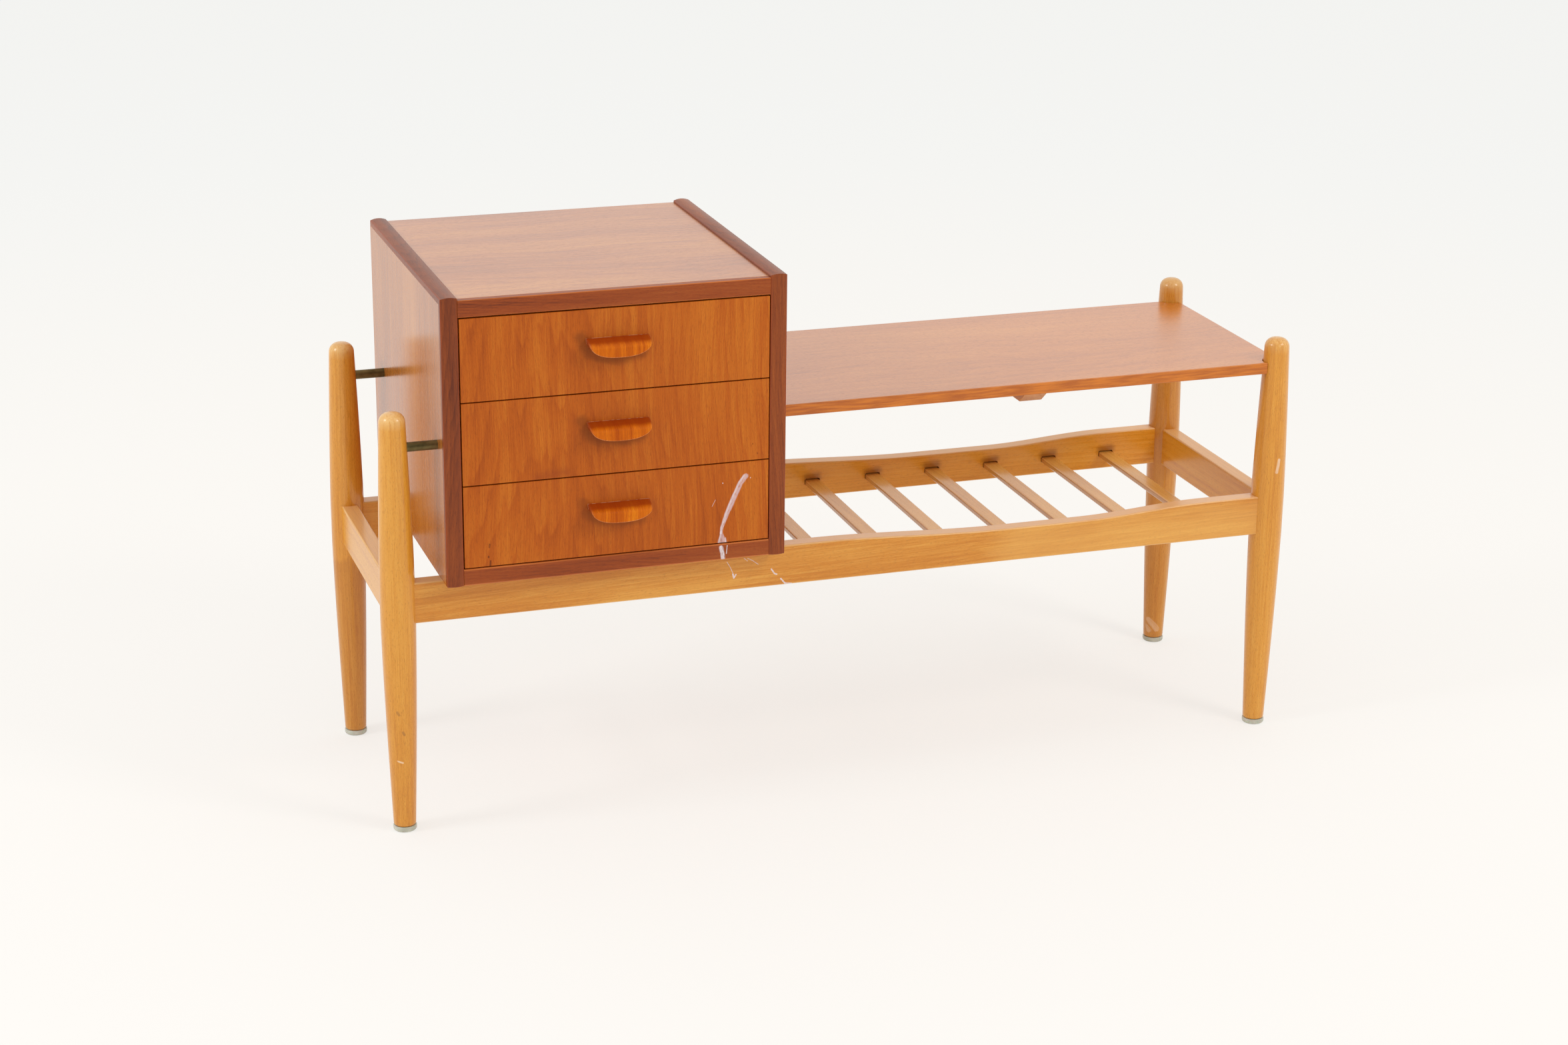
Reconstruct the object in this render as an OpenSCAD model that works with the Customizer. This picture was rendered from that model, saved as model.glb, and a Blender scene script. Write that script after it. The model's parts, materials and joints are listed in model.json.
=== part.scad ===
// Telephone bench: an oak frame on four turned legs, with slats for magazines,
// a teak seat shelf on the right and a teak cabinet of three drawers on the left.
// +X runs from the cabinet to the shelf, the drawers open towards -Y, and the
// floor is at z = 0. The origin is under the middle of the bench's outline.

/* [Frame] */
// Distance between the axes of the left and right legs
leg_gap_x = 1000; // [920:5:1150]
// Distance between the axes of the front and back legs
leg_gap_y = 273; // [250:1:300]
// How far the legs stand above the shelf
leg_over_shelf = 27; // [15:1:60]
// Height of the underside of the rails
rail_z = 234.5; // [180:0.5:260]
// Height of the rails
rail_h = 44.5; // [38:0.5:52]
// Thickness of the rails
rail_t = 18; // [16:0.5:22]

/* [Legs] */
// Diameter of a leg at the rails
leg_d = 37; // [34:0.5:44]
// Diameter of a leg under its domed top
leg_top_d = 27.6; // [24:0.2:32]
// Diameter of a leg above its foot
leg_foot_d = 24; // [20:0.5:28]
// Height of the domed top
dome_h = 11; // [6:0.5:16]
// Radius that eases the wood at the foot
foot_ease = 2.5; // [1:0.5:4]
// Diameter of a glide
glide_d = 25; // [22:0.5:30]
// Height of a glide
glide_h = 6; // [4:0.5:9]

/* [Long rails] */
// Depth of the dip in the top edge of the long rails
dip_depth = 7.1; // [0:0.1:12]
// Plain length of rail between the cabinet and the dip
dip_left_plain = 44; // [20:1:100]
// Length of the slow curve into the dip
dip_left_run = 220; // [100:5:240]
// Length of the quick curve out of the dip
dip_right_run = 150; // [60:2:170]
// Plain length of rail between the dip and the right leg axis
dip_right_plain = 82; // [60:2:160]

/* [Slats] */
// Number of slats under the open bay
slat_count = 7; // [4:1:7]
// Distance from the cabinet to the middle of the first slat
slat_start = 60; // [30:1:80]
// Distance from the middle of the last slat to the right leg axis
slat_end = 79.2; // [50:0.2:120]
// Width of a slat
slat_w = 20; // [16:0.5:30]
// Thickness of a slat
slat_t = 8; // [6:0.5:12]
// Height of the top face of the slats
slat_top_z = 255; // [250:0.5:262]
// Radius on the edges of a slat
slat_round = 2; // [0.5:0.1:3]

/* [Shelf] */
// Height of the top face of the shelf
shelf_top_z = 436; // [425:0.5:445]
// Thickness of the shelf
shelf_t = 13; // [12:0.5:16]
// How far the shelf's front edge stands in front of the front leg axis
shelf_front_out = 6.5; // [2:0.5:10]
// How far the shelf's back edge lies in front of the back leg axis
shelf_back_in = 3.5; // [0:0.5:8]
// How far the shelf's end stands past the right leg axis
shelf_end_out = 5.5; // [2:0.5:10]
// Width of the cleat under the shelf
cleat_w = 27; // [20:1:40]
// Thickness of the cleat
cleat_t = 12; // [8:0.5:16]
// Length of the bevel at each end of the cleat
cleat_bevel = 15; // [8:1:24]
// Distance from the shelf's long edges to the cleat's ends
cleat_setback = 3; // [1:1:40]

/* [Rods] */
// Diameter of the brass rods
rod_d = 10; // [8:0.5:12]
// Distance from the top of the legs to the rod axes
rod_drop = 38.5; // [25:0.5:60]

/* [Cabinet] */
// Width of the cabinet over its side panels
cab_w = 366; // [320:1:380]
// Depth of the cabinet from front to back
cab_d = 356; // [330:1:400]
// Height of the cabinet above the rails
cab_h = 308; // [280:1:340]
// Distance from the left leg axis to the cabinet
cab_left_gap = 46; // [36:1:60]
// How far the cabinet stands in front of the front rail
cab_front_out = 24.5; // [10:0.5:40]
// Thickness of the panels and boards
board_t = 18; // [16:0.5:20]
// Depth of the solid wood edging
lip_d = 8; // [5:0.5:12]
// Height of the crown on the edging of the side panels
lip_crown = 2; // [1:0.25:4]
// How far the side panels stand above the top board
top_drop = 4; // [2:0.5:8]
// How far the boards and drawers lie behind the panel fronts
front_inset = 1.5; // [0.5:0.5:4]
// Thickness of the plywood back
back_t = 5; // [4:0.5:8]
// Distance from the back of the cabinet to its plywood back
back_inset = 7; // [5:0.5:15]
// Depth of the grooves and housings in the panels and boards
housing_d = 5; // [3:0.5:7]

/* [Drawers] */
// Gap round a drawer front, above and below it
front_gap = 1.4; // [1:0.1:2.5]
// Gap between a drawer and the side panels
side_gap = 1; // [0.6:0.1:2]
// Thickness of a drawer front
front_t = 16; // [14:0.5:20]
// Thickness of the drawer sides and backs
side_t = 12; // [11:0.5:14]
// Distance from the back of a closed drawer to the plywood back
drawer_back_gap = 9.5; // [6:0.5:40]
// Distance from the bottom of a drawer front to its sides
side_drop_low = 5; // [3:0.5:10]
// Distance from the top of a drawer front to its sides
side_drop_top = 6.5; // [4:0.5:12]
// Wood left in front of the dovetails
lap_t = 5; // [3:0.5:6]
// Slope of the dovetails, as a share of their length
tail_slope_share = 0.16; // [0.1:0.01:0.2]
// Thickness of the drawer bottoms
bottom_t = 4; // [3:0.5:6]
// Height of the drawer bottoms above the lower edge of the sides
bottom_up = 8; // [6:0.5:9]
// Depth of the grooves that hold the drawer bottoms
bottom_groove = 5; // [3:0.5:6]
// Height of a drawer runner
runner_h = 12; // [8:0.5:14]
// How far a runner stands out from the side panel
runner_w = 8; // [6:0.5:8]
// Running clearance between a runner and its groove
run_gap = 0.3; // [0.2:0.05:0.5]

/* [Pulls] */
// Width of a pull
pull_w = 66; // [55:1:90]
// Height of a pull
pull_h = 18; // [15:0.5:24]
// How far a pull stands out from the drawer front
pull_out = 18; // [15:0.5:22]
// Distance from the top of a drawer front to the pull
pull_drop = 30; // [20:0.5:45]

/* [Hidden] */
// Overrun of every cut
cut = 1;
// Smoothness of turned and round pieces
$fn = 64;

// Heights
wood_z = glide_h;
leg_h = shelf_top_z + leg_over_shelf;
rod_z = leg_h - rod_drop;
rail_top_z = rail_z + rail_h;
rail_mid_z = rail_z + rail_h / 2;
slat_z = slat_top_z - slat_t;
shelf_z = shelf_top_z - shelf_t;
shelf_mid_z = shelf_z + shelf_t / 2;
cab_z = rail_top_z;
cab_top_z = cab_z + cab_h;
top_board_z = cab_top_z - top_drop - board_t;
floor_board_z = cab_z + board_t;

// Places along the length
leg_left_x = -leg_gap_x / 2;
leg_right_x = leg_gap_x / 2;
cab_x0 = leg_left_x + cab_left_gap;
cab_x1 = cab_x0 + cab_w;
inner_x0 = cab_x0 + board_t;
inner_x1 = cab_x1 - board_t;
cab_mid_x = (cab_x0 + cab_x1) / 2;
shelf_end_x = leg_right_x + shelf_end_out;
shelf_mid_x = (cab_x1 + shelf_end_x) / 2;

// Places from front to back, with the whole outline centred
whole_d = cab_d + pull_out - front_inset;
cab_back_y = whole_d / 2;
cab_front_y = cab_back_y - cab_d;
rail_front_y = cab_front_y + cab_front_out;
leg_front_y = rail_front_y + rail_t / 2;
leg_back_y = leg_front_y + leg_gap_y;
shelf_front_y = leg_front_y - shelf_front_out;
shelf_back_y = leg_back_y - shelf_back_in;
face_y = cab_front_y + front_inset;
ply_y1 = cab_back_y - back_inset;
ply_y0 = ply_y1 - back_t;

// Tongues of the top and floor boards, each half a board thick
tongue_t = board_t / 2;
floor_tongue_z = floor_board_z - tongue_t;

// Joints between rails and legs
shoulder = 0.75 * leg_d / 2;
tenon_end = 0.27 * leg_d / 2;
tenon_t = 0.45 * rail_t;
tenon_h = 0.75 * rail_h;
mortise_room = 3;
mortise_side_room = 1;

// Rods, dowels and screws
rod_in_leg = 0.8 * rod_d;
rod_in_panel = 0.55 * board_t;
dowel_d = 0.46 * shelf_t;
dowel_in = 0.7 * board_t;
screw_d = 4;
screw_head_d = 8;
screw_head_h = 2.4;
screw_bore_d = 10;
screw_len = 30;
cleat_screw_len = cleat_t + 0.6 * shelf_t;
screw_room = 0.05;
cabinet_screw_share = 0.16;
cleat_screw_share = 0.36;

// Drawers
open_h = top_board_z - floor_board_z;
front_h = (open_h - 4 * front_gap) / 3;
front_x0 = inner_x0 + side_gap;
front_x1 = inner_x1 - side_gap;
side_h = front_h - side_drop_low - side_drop_top;
tail_y0 = face_y + lap_t;
side_y0 = face_y + front_t;
side_y1 = ply_y0 - drawer_back_gap;
runner_y0 = side_y0 + 2 * side_t;
runner_y1 = side_y1 + 0.4 * side_t;
groove_d = runner_w - side_gap + 2 * run_gap;
back_low = bottom_up + bottom_t;
back_top_drop = 0.5 * side_t;

// Heights of the dovetails as shares of the side, for the wide end of each tail
tail_shares = [[0.05, 0.21], [0.255, 0.405], [0.595, 0.745], [0.79, 0.95]];

function drawer_z(i) = floor_board_z + front_gap + i * (front_h + front_gap);
function side_z(i) = drawer_z(i) + side_drop_low;
function runner_z(i) = side_z(i) + (side_h - runner_h) / 2;
function mix(a, b, t) = a + (b - a) * t;
function arc(cx, cy, r, a0, a1, n) =
    [for (i = [0:n]) let (a = mix(a0, a1, i / n)) [cx + r * cos(a), cy + r * sin(a)]];

// Half thickness of a leg at a height: half of its swell is a straight taper,
// the other half a quarter wave, and the stretch at the rails is parallel
foot_z = wood_z + foot_ease;
dome_z = leg_h - dome_h;
function swell(t) = (sin(90 * t) + t) / 2;
function leg_r(z) =
    z < rail_z ? mix(leg_foot_d, leg_d, swell((z - foot_z) / (rail_z - foot_z))) / 2 :
    z < rail_top_z ? leg_d / 2 :
    mix(leg_top_d, leg_d, swell((dome_z - z) / (dome_z - rail_top_z))) / 2;

// A block from its low corner to its high corner
module block(low, high) {
    translate(low) cube(high - low);
}

// A profile drawn in y and z, carried along x from x0 to x1
module along_x(x0, x1) {
    translate([x0, 0, 0]) rotate([90, 0, 90]) linear_extrude(x1 - x0) children();
}

// A profile drawn in x and z, carried along y from y0 to y1
module along_y(y0, y1) {
    translate([0, y1, 0]) rotate([90, 0, 0]) linear_extrude(y1 - y0) children();
}

// A rectangle with rounded corners, from its low corner
module soft_rect(w, h, r) {
    translate([r, 0]) square([w - 2 * r, h]);
    translate([0, r]) square([w, h - 2 * r]);
    for (x = [r, w - r], y = [r, h - r]) translate([x, y]) circle(r, $fn = 24);
}

// One turned leg standing on the axis x = 0, y = 0
module leg_turning() {
    foot = arc(leg_foot_d / 2 - foot_ease, foot_z, foot_ease, -90, 0, 4);
    low = [for (i = [1:14]) let (z = mix(foot_z, rail_z, i / 14)) [leg_r(z), z]];
    high = [for (i = [0:12]) let (z = mix(rail_top_z, dome_z, i / 12)) [leg_r(z), z]];
    dome = [for (i = [1:10]) let (a = 9 * i)
        [leg_top_d / 2 * pow(cos(a), 0.75), dome_z + dome_h * sin(a)]];
    rotate_extrude() polygon(concat([[0, wood_z]], foot, low, high, dome));
}

// The housing and mortise for a rail that leaves a leg along +x
module rail_mortise() {
    block([shoulder, -rail_t / 2, rail_z], [leg_d, rail_t / 2, rail_top_z]);
    block([tenon_end, -tenon_t / 2, rail_mid_z - tenon_h / 2],
          [leg_d, tenon_t / 2, rail_mid_z + tenon_h / 2]);
}

// A leg at x, y whose long rail runs towards to_x and whose end rail towards to_y
module leg(x, y, to_x, to_y) {
    color([0.85, 0.61, 0.32]) difference() {
        translate([x, y, 0]) difference() {
            leg_turning();
            rotate([0, 0, to_x > 0 ? 0 : 180]) rail_mortise();
            rotate([0, 0, to_y > 0 ? 90 : -90]) rail_mortise();
            glide_pin(screw_room);
        }
        if (to_x > 0) rod_solid(y);
        if (to_x < 0) leg_dowel(y, screw_room);
    }
}

// The pin of a glide, with some room round it for its hole
pin_d = 3;
pin_h = 2 * glide_h;
module glide_pin(room) {
    translate([0, 0, glide_h / 2]) cylinder(h = pin_h + room, d = pin_d + 2 * room);
}

// A glide: an eased plastic disc on a pin driven into the leg
module glide(x, y) {
    ease = 0.4 * glide_h;
    low = arc(glide_d / 2 - ease, ease, ease, -90, 0, 6);
    high = arc(glide_d / 2 - ease / 2, glide_h - ease / 2, ease / 2, 0, 90, 4);
    color([0.78, 0.78, 0.72]) translate([x, y, 0]) {
        rotate_extrude() polygon(concat([[0, 0]], low, high, [[0, glide_h]]));
        glide_pin(0);
    }
}

// A rail's full length and its tenons, drawn along x between two leg axes
module rail_tenon(x0, x1, y) {
    block([x0 + tenon_end, y - tenon_t / 2, rail_mid_z - tenon_h / 2],
          [x1 - tenon_end, y + tenon_t / 2, rail_mid_z + tenon_h / 2]);
}

// The top edge of a long rail in the open bay: down and up again on half waves
dip_x0 = cab_x1 + dip_left_plain;
dip_x1 = leg_right_x - dip_right_plain;
function dip_left(i, n) = [dip_x0 + dip_left_run * i / n,
    rail_top_z - dip_depth * (1 - cos(180 * i / n)) / 2];
function dip_right(i, n) = [dip_x1 - dip_right_run * (1 - i / n),
    rail_top_z - dip_depth * (1 + cos(180 * i / n)) / 2];

// A long rail with mortises for the slats; inward is +1 where the bay lies at +y
module long_rail(y, inward) {
    x0 = leg_left_x + shoulder;
    x1 = leg_right_x - shoulder;
    outline = concat([[x0, rail_z], [x0, rail_top_z]],
        [for (i = [0:18]) dip_left(i, 18)], [for (i = [0:12]) dip_right(i, 12)],
        [[x1, rail_top_z], [x1, rail_z]]);
    color([0.85, 0.6, 0.3]) difference() {
        union() {
            along_y(y - rail_t / 2, y + rail_t / 2) polygon(outline);
            rail_tenon(leg_left_x, leg_right_x, y);
        }
        for (i = [0:slat_count - 1]) slat_mortise(i, y, inward);
        cabinet_screws(screw_room);
    }
}

// An end rail between the front and back legs at x
module end_rail(x) {
    color([0.85, 0.6, 0.3]) {
        block([x - rail_t / 2, leg_front_y + shoulder, rail_z],
              [x + rail_t / 2, leg_back_y - shoulder, rail_top_z]);
        translate([x, 0, 0]) rotate([0, 0, 90]) rail_tenon(leg_front_y, leg_back_y, 0);
    }
}

// The middle of a slat: the slats are spread evenly over the open bay
function slat_x(i) = mix(cab_x1 + slat_start, leg_right_x - slat_end, i / (slat_count - 1));

// A slat's section, or its mortise with room at both sides and above
module slat_section(i, side_room, top_room) {
    translate([slat_x(i) - slat_w / 2 - side_room, slat_z])
        soft_rect(slat_w + 2 * side_room, slat_t + top_room, slat_round + side_room);
}

module slat_mortise(i, y, inward) {
    y0 = inward > 0 ? y : y - rail_t / 2 - cut;
    y1 = inward > 0 ? y + rail_t / 2 + cut : y;
    along_y(y0, y1) slat_section(i, mortise_side_room, mortise_room);
}

module slat(i) {
    if (i < slat_count) color([0.83, 0.62, 0.42])
        along_y(leg_front_y, leg_back_y) slat_section(i, 0, 0);
}

// The seat shelf: housed on the cabinet, cut round the right legs
module shelf() {
    color([0.8, 0.55, 0.4]) difference() {
        block([cab_x1, shelf_front_y, shelf_z], [shelf_end_x, shelf_back_y, shelf_top_z]);
        for (y = [leg_front_y, leg_back_y])
            translate([leg_right_x, y, shelf_z - cut])
                cylinder(h = shelf_t + 2 * cut, r = leg_r(shelf_z) + run_gap);
        for (y = [leg_front_y, leg_back_y]) leg_dowel(y, screw_room);
        cabinet_dowels(screw_room);
        cleat_screws(screw_room);
    }
}

// The cleat across the middle of the shelf, with bevelled ends
module cleat() {
    y0 = shelf_front_y + cleat_setback;
    y1 = shelf_back_y - cleat_setback;
    color([0.72, 0.42, 0.18]) difference() {
        along_x(shelf_mid_x - cleat_w / 2, shelf_mid_x + cleat_w / 2)
            polygon([[y0, shelf_z], [y0 + cleat_bevel, shelf_z - cleat_t],
                     [y1 - cleat_bevel, shelf_z - cleat_t], [y1, shelf_z]]);
        cleat_screws(screw_room);
    }
}

// A dowel along x from x0 to x1, with some room round it for its hole
module dowel(x0, x1, y, room) {
    translate([x0 - room, y, shelf_mid_z]) rotate([0, 90, 0])
        cylinder(h = x1 - x0 + 2 * room, d = dowel_d + 2 * room);
}

// The dowel between a right leg and the shelf
module leg_dowel(y, room) {
    seat_x = leg_right_x - leg_r(shelf_z);
    dowel(seat_x - dowel_in, seat_x + dowel_in / 2, y, room);
}

// The dowels between the cabinet and the shelf
module cabinet_dowels(room) {
    for (share = [0.2, 0.8]) dowel(cab_x1 - dowel_in, cab_x1 + dowel_in,
        mix(shelf_front_y, shelf_back_y, share), room);
}

module all_dowels() {
    color([0.85, 0.7, 0.5]) {
        for (y = [leg_front_y, leg_back_y]) leg_dowel(y, 0);
        cabinet_dowels(0);
    }
}

// A countersunk screw that points up from z, with some room for its hole
module screw(x, y, z, len, room) {
    translate([x, y, z]) {
        cylinder(h = screw_head_h, d1 = screw_head_d + 2 * room, d2 = screw_d + 2 * room);
        cylinder(h = len + room, d = screw_d + 2 * room);
        if (room > 0) translate([0, 0, -cut])
            cylinder(h = cut + room, d = screw_head_d + 2 * room);
    }
}

// Screws up through the long rails into the cabinet; each head sits in a deep bore
bore_top_z = cab_z + 0.75 * board_t - screw_len;
module cabinet_screws(room) {
    for (share = [cabinet_screw_share, 1 - cabinet_screw_share], y = [leg_front_y, leg_back_y]) {
        x = mix(cab_x0, cab_x1, share);
        screw(x, y, bore_top_z, screw_len, room);
        if (room > 0) translate([x, y, rail_z - cut])
            cylinder(h = bore_top_z - rail_z + cut, d = screw_bore_d);
    }
}

// Screws up through the cleat into the shelf
module cleat_screws(room) {
    for (share = [-cleat_screw_share, 0, cleat_screw_share])
        screw(shelf_mid_x, mix(shelf_front_y, shelf_back_y, 0.5 + share),
              shelf_z - cleat_t, cleat_screw_len, room);
}

module all_screws() {
    color([0.75, 0.75, 0.72]) {
        cabinet_screws(0);
        cleat_screws(0);
    }
}

// The rod between a left leg and the cabinet
module rod_solid(y) {
    x0 = leg_left_x + leg_r(rod_z) - rod_in_leg;
    translate([x0, y, rod_z]) rotate([0, 90, 0])
        cylinder(h = cab_x0 + rod_in_panel - x0, d = rod_d);
}

module rod(y) {
    color([0.62, 0.52, 0.3]) rod_solid(y);
}

// A side panel; x0 is its left face and in_x its inner face
module side_panel(x0, in_x) {
    toward = in_x > x0 ? -1 : 1;
    deep = in_x + toward * housing_d;
    a = min(in_x - toward * cut, deep);
    b = max(in_x - toward * cut, deep);
    board_y0 = face_y + lip_d;
    color([0.76, 0.5, 0.36]) difference() {
        block([x0, cab_front_y + lip_d, cab_z], [x0 + board_t, cab_back_y, cab_top_z - lip_d]);
        for (z = [floor_tongue_z, top_board_z])
            block([a, board_y0, z], [b, cab_back_y + cut, z + tongue_t]);
        block([a, ply_y0, cab_z], [b, ply_y1, cab_top_z - 2 * lip_d]);
        if (toward < 0) for (y = [leg_front_y, leg_back_y]) rod_solid(y);
        if (toward > 0) cabinet_dowels(screw_room);
    }
}

// The section of the edging across a panel, crowned on its outer side, which is up
module crowned_section() {
    r = (pow(board_t / 2, 2) + pow(lip_crown, 2)) / (2 * lip_crown);
    intersection() {
        translate([-board_t / 2, -lip_d]) square([board_t, lip_d]);
        translate([0, -r]) circle(r, $fn = 96);
    }
}

// The solid edging on the front of a panel, mitred into the edging on its top
module front_edging(x0) {
    color([0.47, 0.27, 0.17]) intersection() {
        translate([x0 + board_t / 2, cab_front_y, cab_z]) linear_extrude(cab_h)
            rotate([0, 0, 180]) crowned_section();
        along_x(x0, x0 + board_t) polygon([
            [cab_front_y, cab_z], [cab_front_y + lip_d, cab_z],
            [cab_front_y + lip_d, cab_top_z - lip_d], [cab_front_y, cab_top_z]]);
    }
}

module top_edging_strip(x0) {
    color([0.47, 0.27, 0.17]) intersection() {
        along_y(cab_front_y, cab_back_y) translate([x0 + board_t / 2, cab_top_z]) crowned_section();
        along_x(x0, x0 + board_t) polygon([
            [cab_front_y, cab_top_z], [cab_front_y + lip_d, cab_top_z - lip_d],
            [cab_back_y, cab_top_z - lip_d], [cab_back_y, cab_top_z]]);
    }
}

// A board between the panels, tongued into them and grooved for the plywood back
module cross_board(z, tongue_z, groove_z) {
    difference() {
        union() {
            block([inner_x0, face_y + lip_d, z], [inner_x1, cab_back_y, z + board_t]);
            block([inner_x0 - housing_d, face_y + lip_d, tongue_z],
                  [inner_x1 + housing_d, cab_back_y, tongue_z + tongue_t]);
        }
        block([inner_x0 - housing_d - cut, ply_y0, groove_z],
              [inner_x1 + housing_d + cut, ply_y1, groove_z + housing_d]);
    }
}

module cabinet_top_board() {
    color([0.8, 0.6, 0.48]) cross_board(top_board_z, top_board_z, top_board_z);
}

module cabinet_floor_board() {
    color([0.7, 0.45, 0.3]) difference() {
        cross_board(cab_z, floor_tongue_z, floor_board_z - housing_d);
        cabinet_screws(screw_room);
    }
}

// The solid edging on the front of a cross board
module board_edging(z) {
    color([0.47, 0.27, 0.17]) block([inner_x0, face_y, z], [inner_x1, face_y + lip_d, z + board_t]);
}

module ply_back() {
    color([0.72, 0.58, 0.42]) block([inner_x0 - housing_d, ply_y0, floor_board_z - housing_d],
        [inner_x1 + housing_d, ply_y1, top_board_z + housing_d]);
}

module runner(i, left) {
    x0 = left ? inner_x0 : inner_x1 - runner_w;
    color([0.86, 0.72, 0.52]) block([x0, runner_y0, runner_z(i)],
        [x0 + runner_w, runner_y1, runner_z(i) + runner_h]);
}

// One dovetail in y and z: its narrow end at root_y, its wide end at tip_y. Its
// stem goes on into the side behind the narrow end
module tail(i, share, root_y, tip_y) {
    slope = tail_slope_share * abs(tip_y - root_y);
    z0 = side_z(i) + share[0] * side_h;
    z1 = side_z(i) + share[1] * side_h;
    stem_y = root_y - sign(tip_y - root_y) * cut;
    polygon([[stem_y, z0 + slope], [root_y, z0 + slope], [tip_y, z0],
             [tip_y, z1], [root_y, z1 - slope], [stem_y, z1 - slope]]);
}

// The dovetails at both ends of a drawer side that starts at x0
module tails(i, x0) {
    for (share = tail_shares) along_x(x0, x0 + side_t) {
        tail(i, share, side_y0, tail_y0);
        tail(i, share, side_y1 - side_t, side_y1);
    }
}

// The groove for a runner in the outer face of a drawer side
module runner_groove(i, left) {
    x0 = left ? front_x0 - cut : front_x1 - groove_d;
    block([x0, runner_y0 - 2 * run_gap, runner_z(i) - run_gap],
          [x0 + groove_d + cut, side_y1 + cut, runner_z(i) + runner_h + run_gap]);
}

// The drawer bottom, which sits in grooves in the front and the sides
module bottom_panel(i) {
    reach = side_t - bottom_groove;
    block([front_x0 + reach, side_y0 - bottom_groove, side_z(i) + bottom_up],
          [front_x1 - reach, side_y1, side_z(i) + back_low]);
}

module drawer_side(i, left) {
    x0 = left ? front_x0 : front_x1 - side_t;
    color([0.88, 0.76, 0.56]) difference() {
        union() {
            block([x0, side_y0, side_z(i)], [x0 + side_t, side_y1 - side_t, side_z(i) + side_h]);
            tails(i, x0);
        }
        runner_groove(i, left);
        bottom_panel(i);
    }
}

module drawer_front(i) {
    color([0.72, 0.38, 0.16]) difference() {
        block([front_x0, face_y, drawer_z(i)], [front_x1, face_y + front_t, drawer_z(i) + front_h]);
        tails(i, front_x0);
        tails(i, front_x1 - side_t);
        bottom_panel(i);
    }
}

module drawer_back(i) {
    color([0.88, 0.76, 0.56]) difference() {
        block([front_x0, side_y1 - side_t, side_z(i) + back_low],
              [front_x1, side_y1, side_z(i) + side_h - back_top_drop]);
        tails(i, front_x0);
        tails(i, front_x1 - side_t);
        runner_groove(i, true);
        runner_groove(i, false);
    }
}

module drawer_bottom(i) {
    color([0.8, 0.68, 0.5]) bottom_panel(i);
}

// The side view of a pull, out from the drawer front: a flat top that rolls over
// into an upright face, a thin lip, and behind it a hollow for the fingers
roll_share = 0.43;
roll_power = 1.25;
lip_share = 0.3;
hollow_share = 0.62;
lip_r = 1.2;
module pull_side() {
    roll = [for (i = [0:14]) let (a = 90 * i / 14)
        [pull_out * pow(sin(a), roll_power), -roll_share * pull_h * (1 - pow(cos(a), roll_power))]];
    lip = arc(pull_out - lip_r, lip_r - pull_h, lip_r, 0, -90, 4);
    hollow = [for (i = [0:12]) let (a = 90 * i / 12)
        [(1 - lip_share) * pull_out * cos(a), -pull_h * (1 - hollow_share * sin(a))]];
    polygon(concat(roll, lip, hollow));
}

// The front view of a pull: a half moon with a straight top
moon_power = 0.78;
module pull_front() {
    polygon([for (i = [0:24]) let (a = 7.5 * i - 90)
        [sign(a) * pull_w / 2 * pow(abs(sin(a)), 0.8), -pull_h * pow(cos(a), moon_power)]]);
}

module drawer_pull(i) {
    top_z = drawer_z(i) + front_h - pull_drop;
    color([0.75, 0.36, 0.12]) translate([cab_mid_x, face_y, top_z]) intersection() {
        along_x(-pull_w / 2, pull_w / 2) mirror([1, 0]) pull_side();
        along_y(-pull_out, 0) pull_front();
    }
}

leg(leg_left_x, leg_front_y, 1, 1);  // leg_front_left
leg(leg_left_x, leg_back_y, 1, -1);  // leg_back_left
leg(leg_right_x, leg_front_y, -1, 1);  // leg_front_right
leg(leg_right_x, leg_back_y, -1, -1);  // leg_back_right
glide(leg_left_x, leg_front_y);  // glide_front_left
glide(leg_left_x, leg_back_y);  // glide_back_left
glide(leg_right_x, leg_front_y);  // glide_front_right
glide(leg_right_x, leg_back_y);  // glide_back_right
long_rail(leg_front_y, 1);  // front_rail
long_rail(leg_back_y, -1);  // back_rail
end_rail(leg_left_x);  // left_end_rail
end_rail(leg_right_x);  // right_end_rail
for (i = [0:6]) slat(i);
shelf();  // shelf_board
cleat();  // shelf_cleat
all_dowels();  // shelf_dowels
all_screws();  // wood_screws
rod(leg_front_y);  // rod_front
rod(leg_back_y);  // rod_back
side_panel(cab_x0, inner_x0);  // cabinet_left_panel
side_panel(inner_x1, inner_x1);  // cabinet_right_panel
front_edging(cab_x0);  // left_front_edging
top_edging_strip(cab_x0);  // left_top_edging
front_edging(inner_x1);  // right_front_edging
top_edging_strip(inner_x1);  // right_top_edging
cabinet_top_board();  // cabinet_top
board_edging(top_board_z);  // top_edging
cabinet_floor_board();  // cabinet_floor
board_edging(cab_z);  // floor_edging
ply_back();  // cabinet_back
for (i = [0:2]) {
    runner(i, true);
    runner(i, false);
    drawer_front(i);
    drawer_side(i, true);
    drawer_side(i, false);
    drawer_back(i);
    drawer_bottom(i);
    drawer_pull(i);
}
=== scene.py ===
# Telephone bench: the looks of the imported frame, in metres.
# The frame's own nodes stay where their shape is right; turned, crowned, eased
# and carved pieces are worked out again as fine surfaces and stand for theirs.
import json
import math

import bpy
import numpy as np
from mathutils import Matrix, Vector

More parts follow.
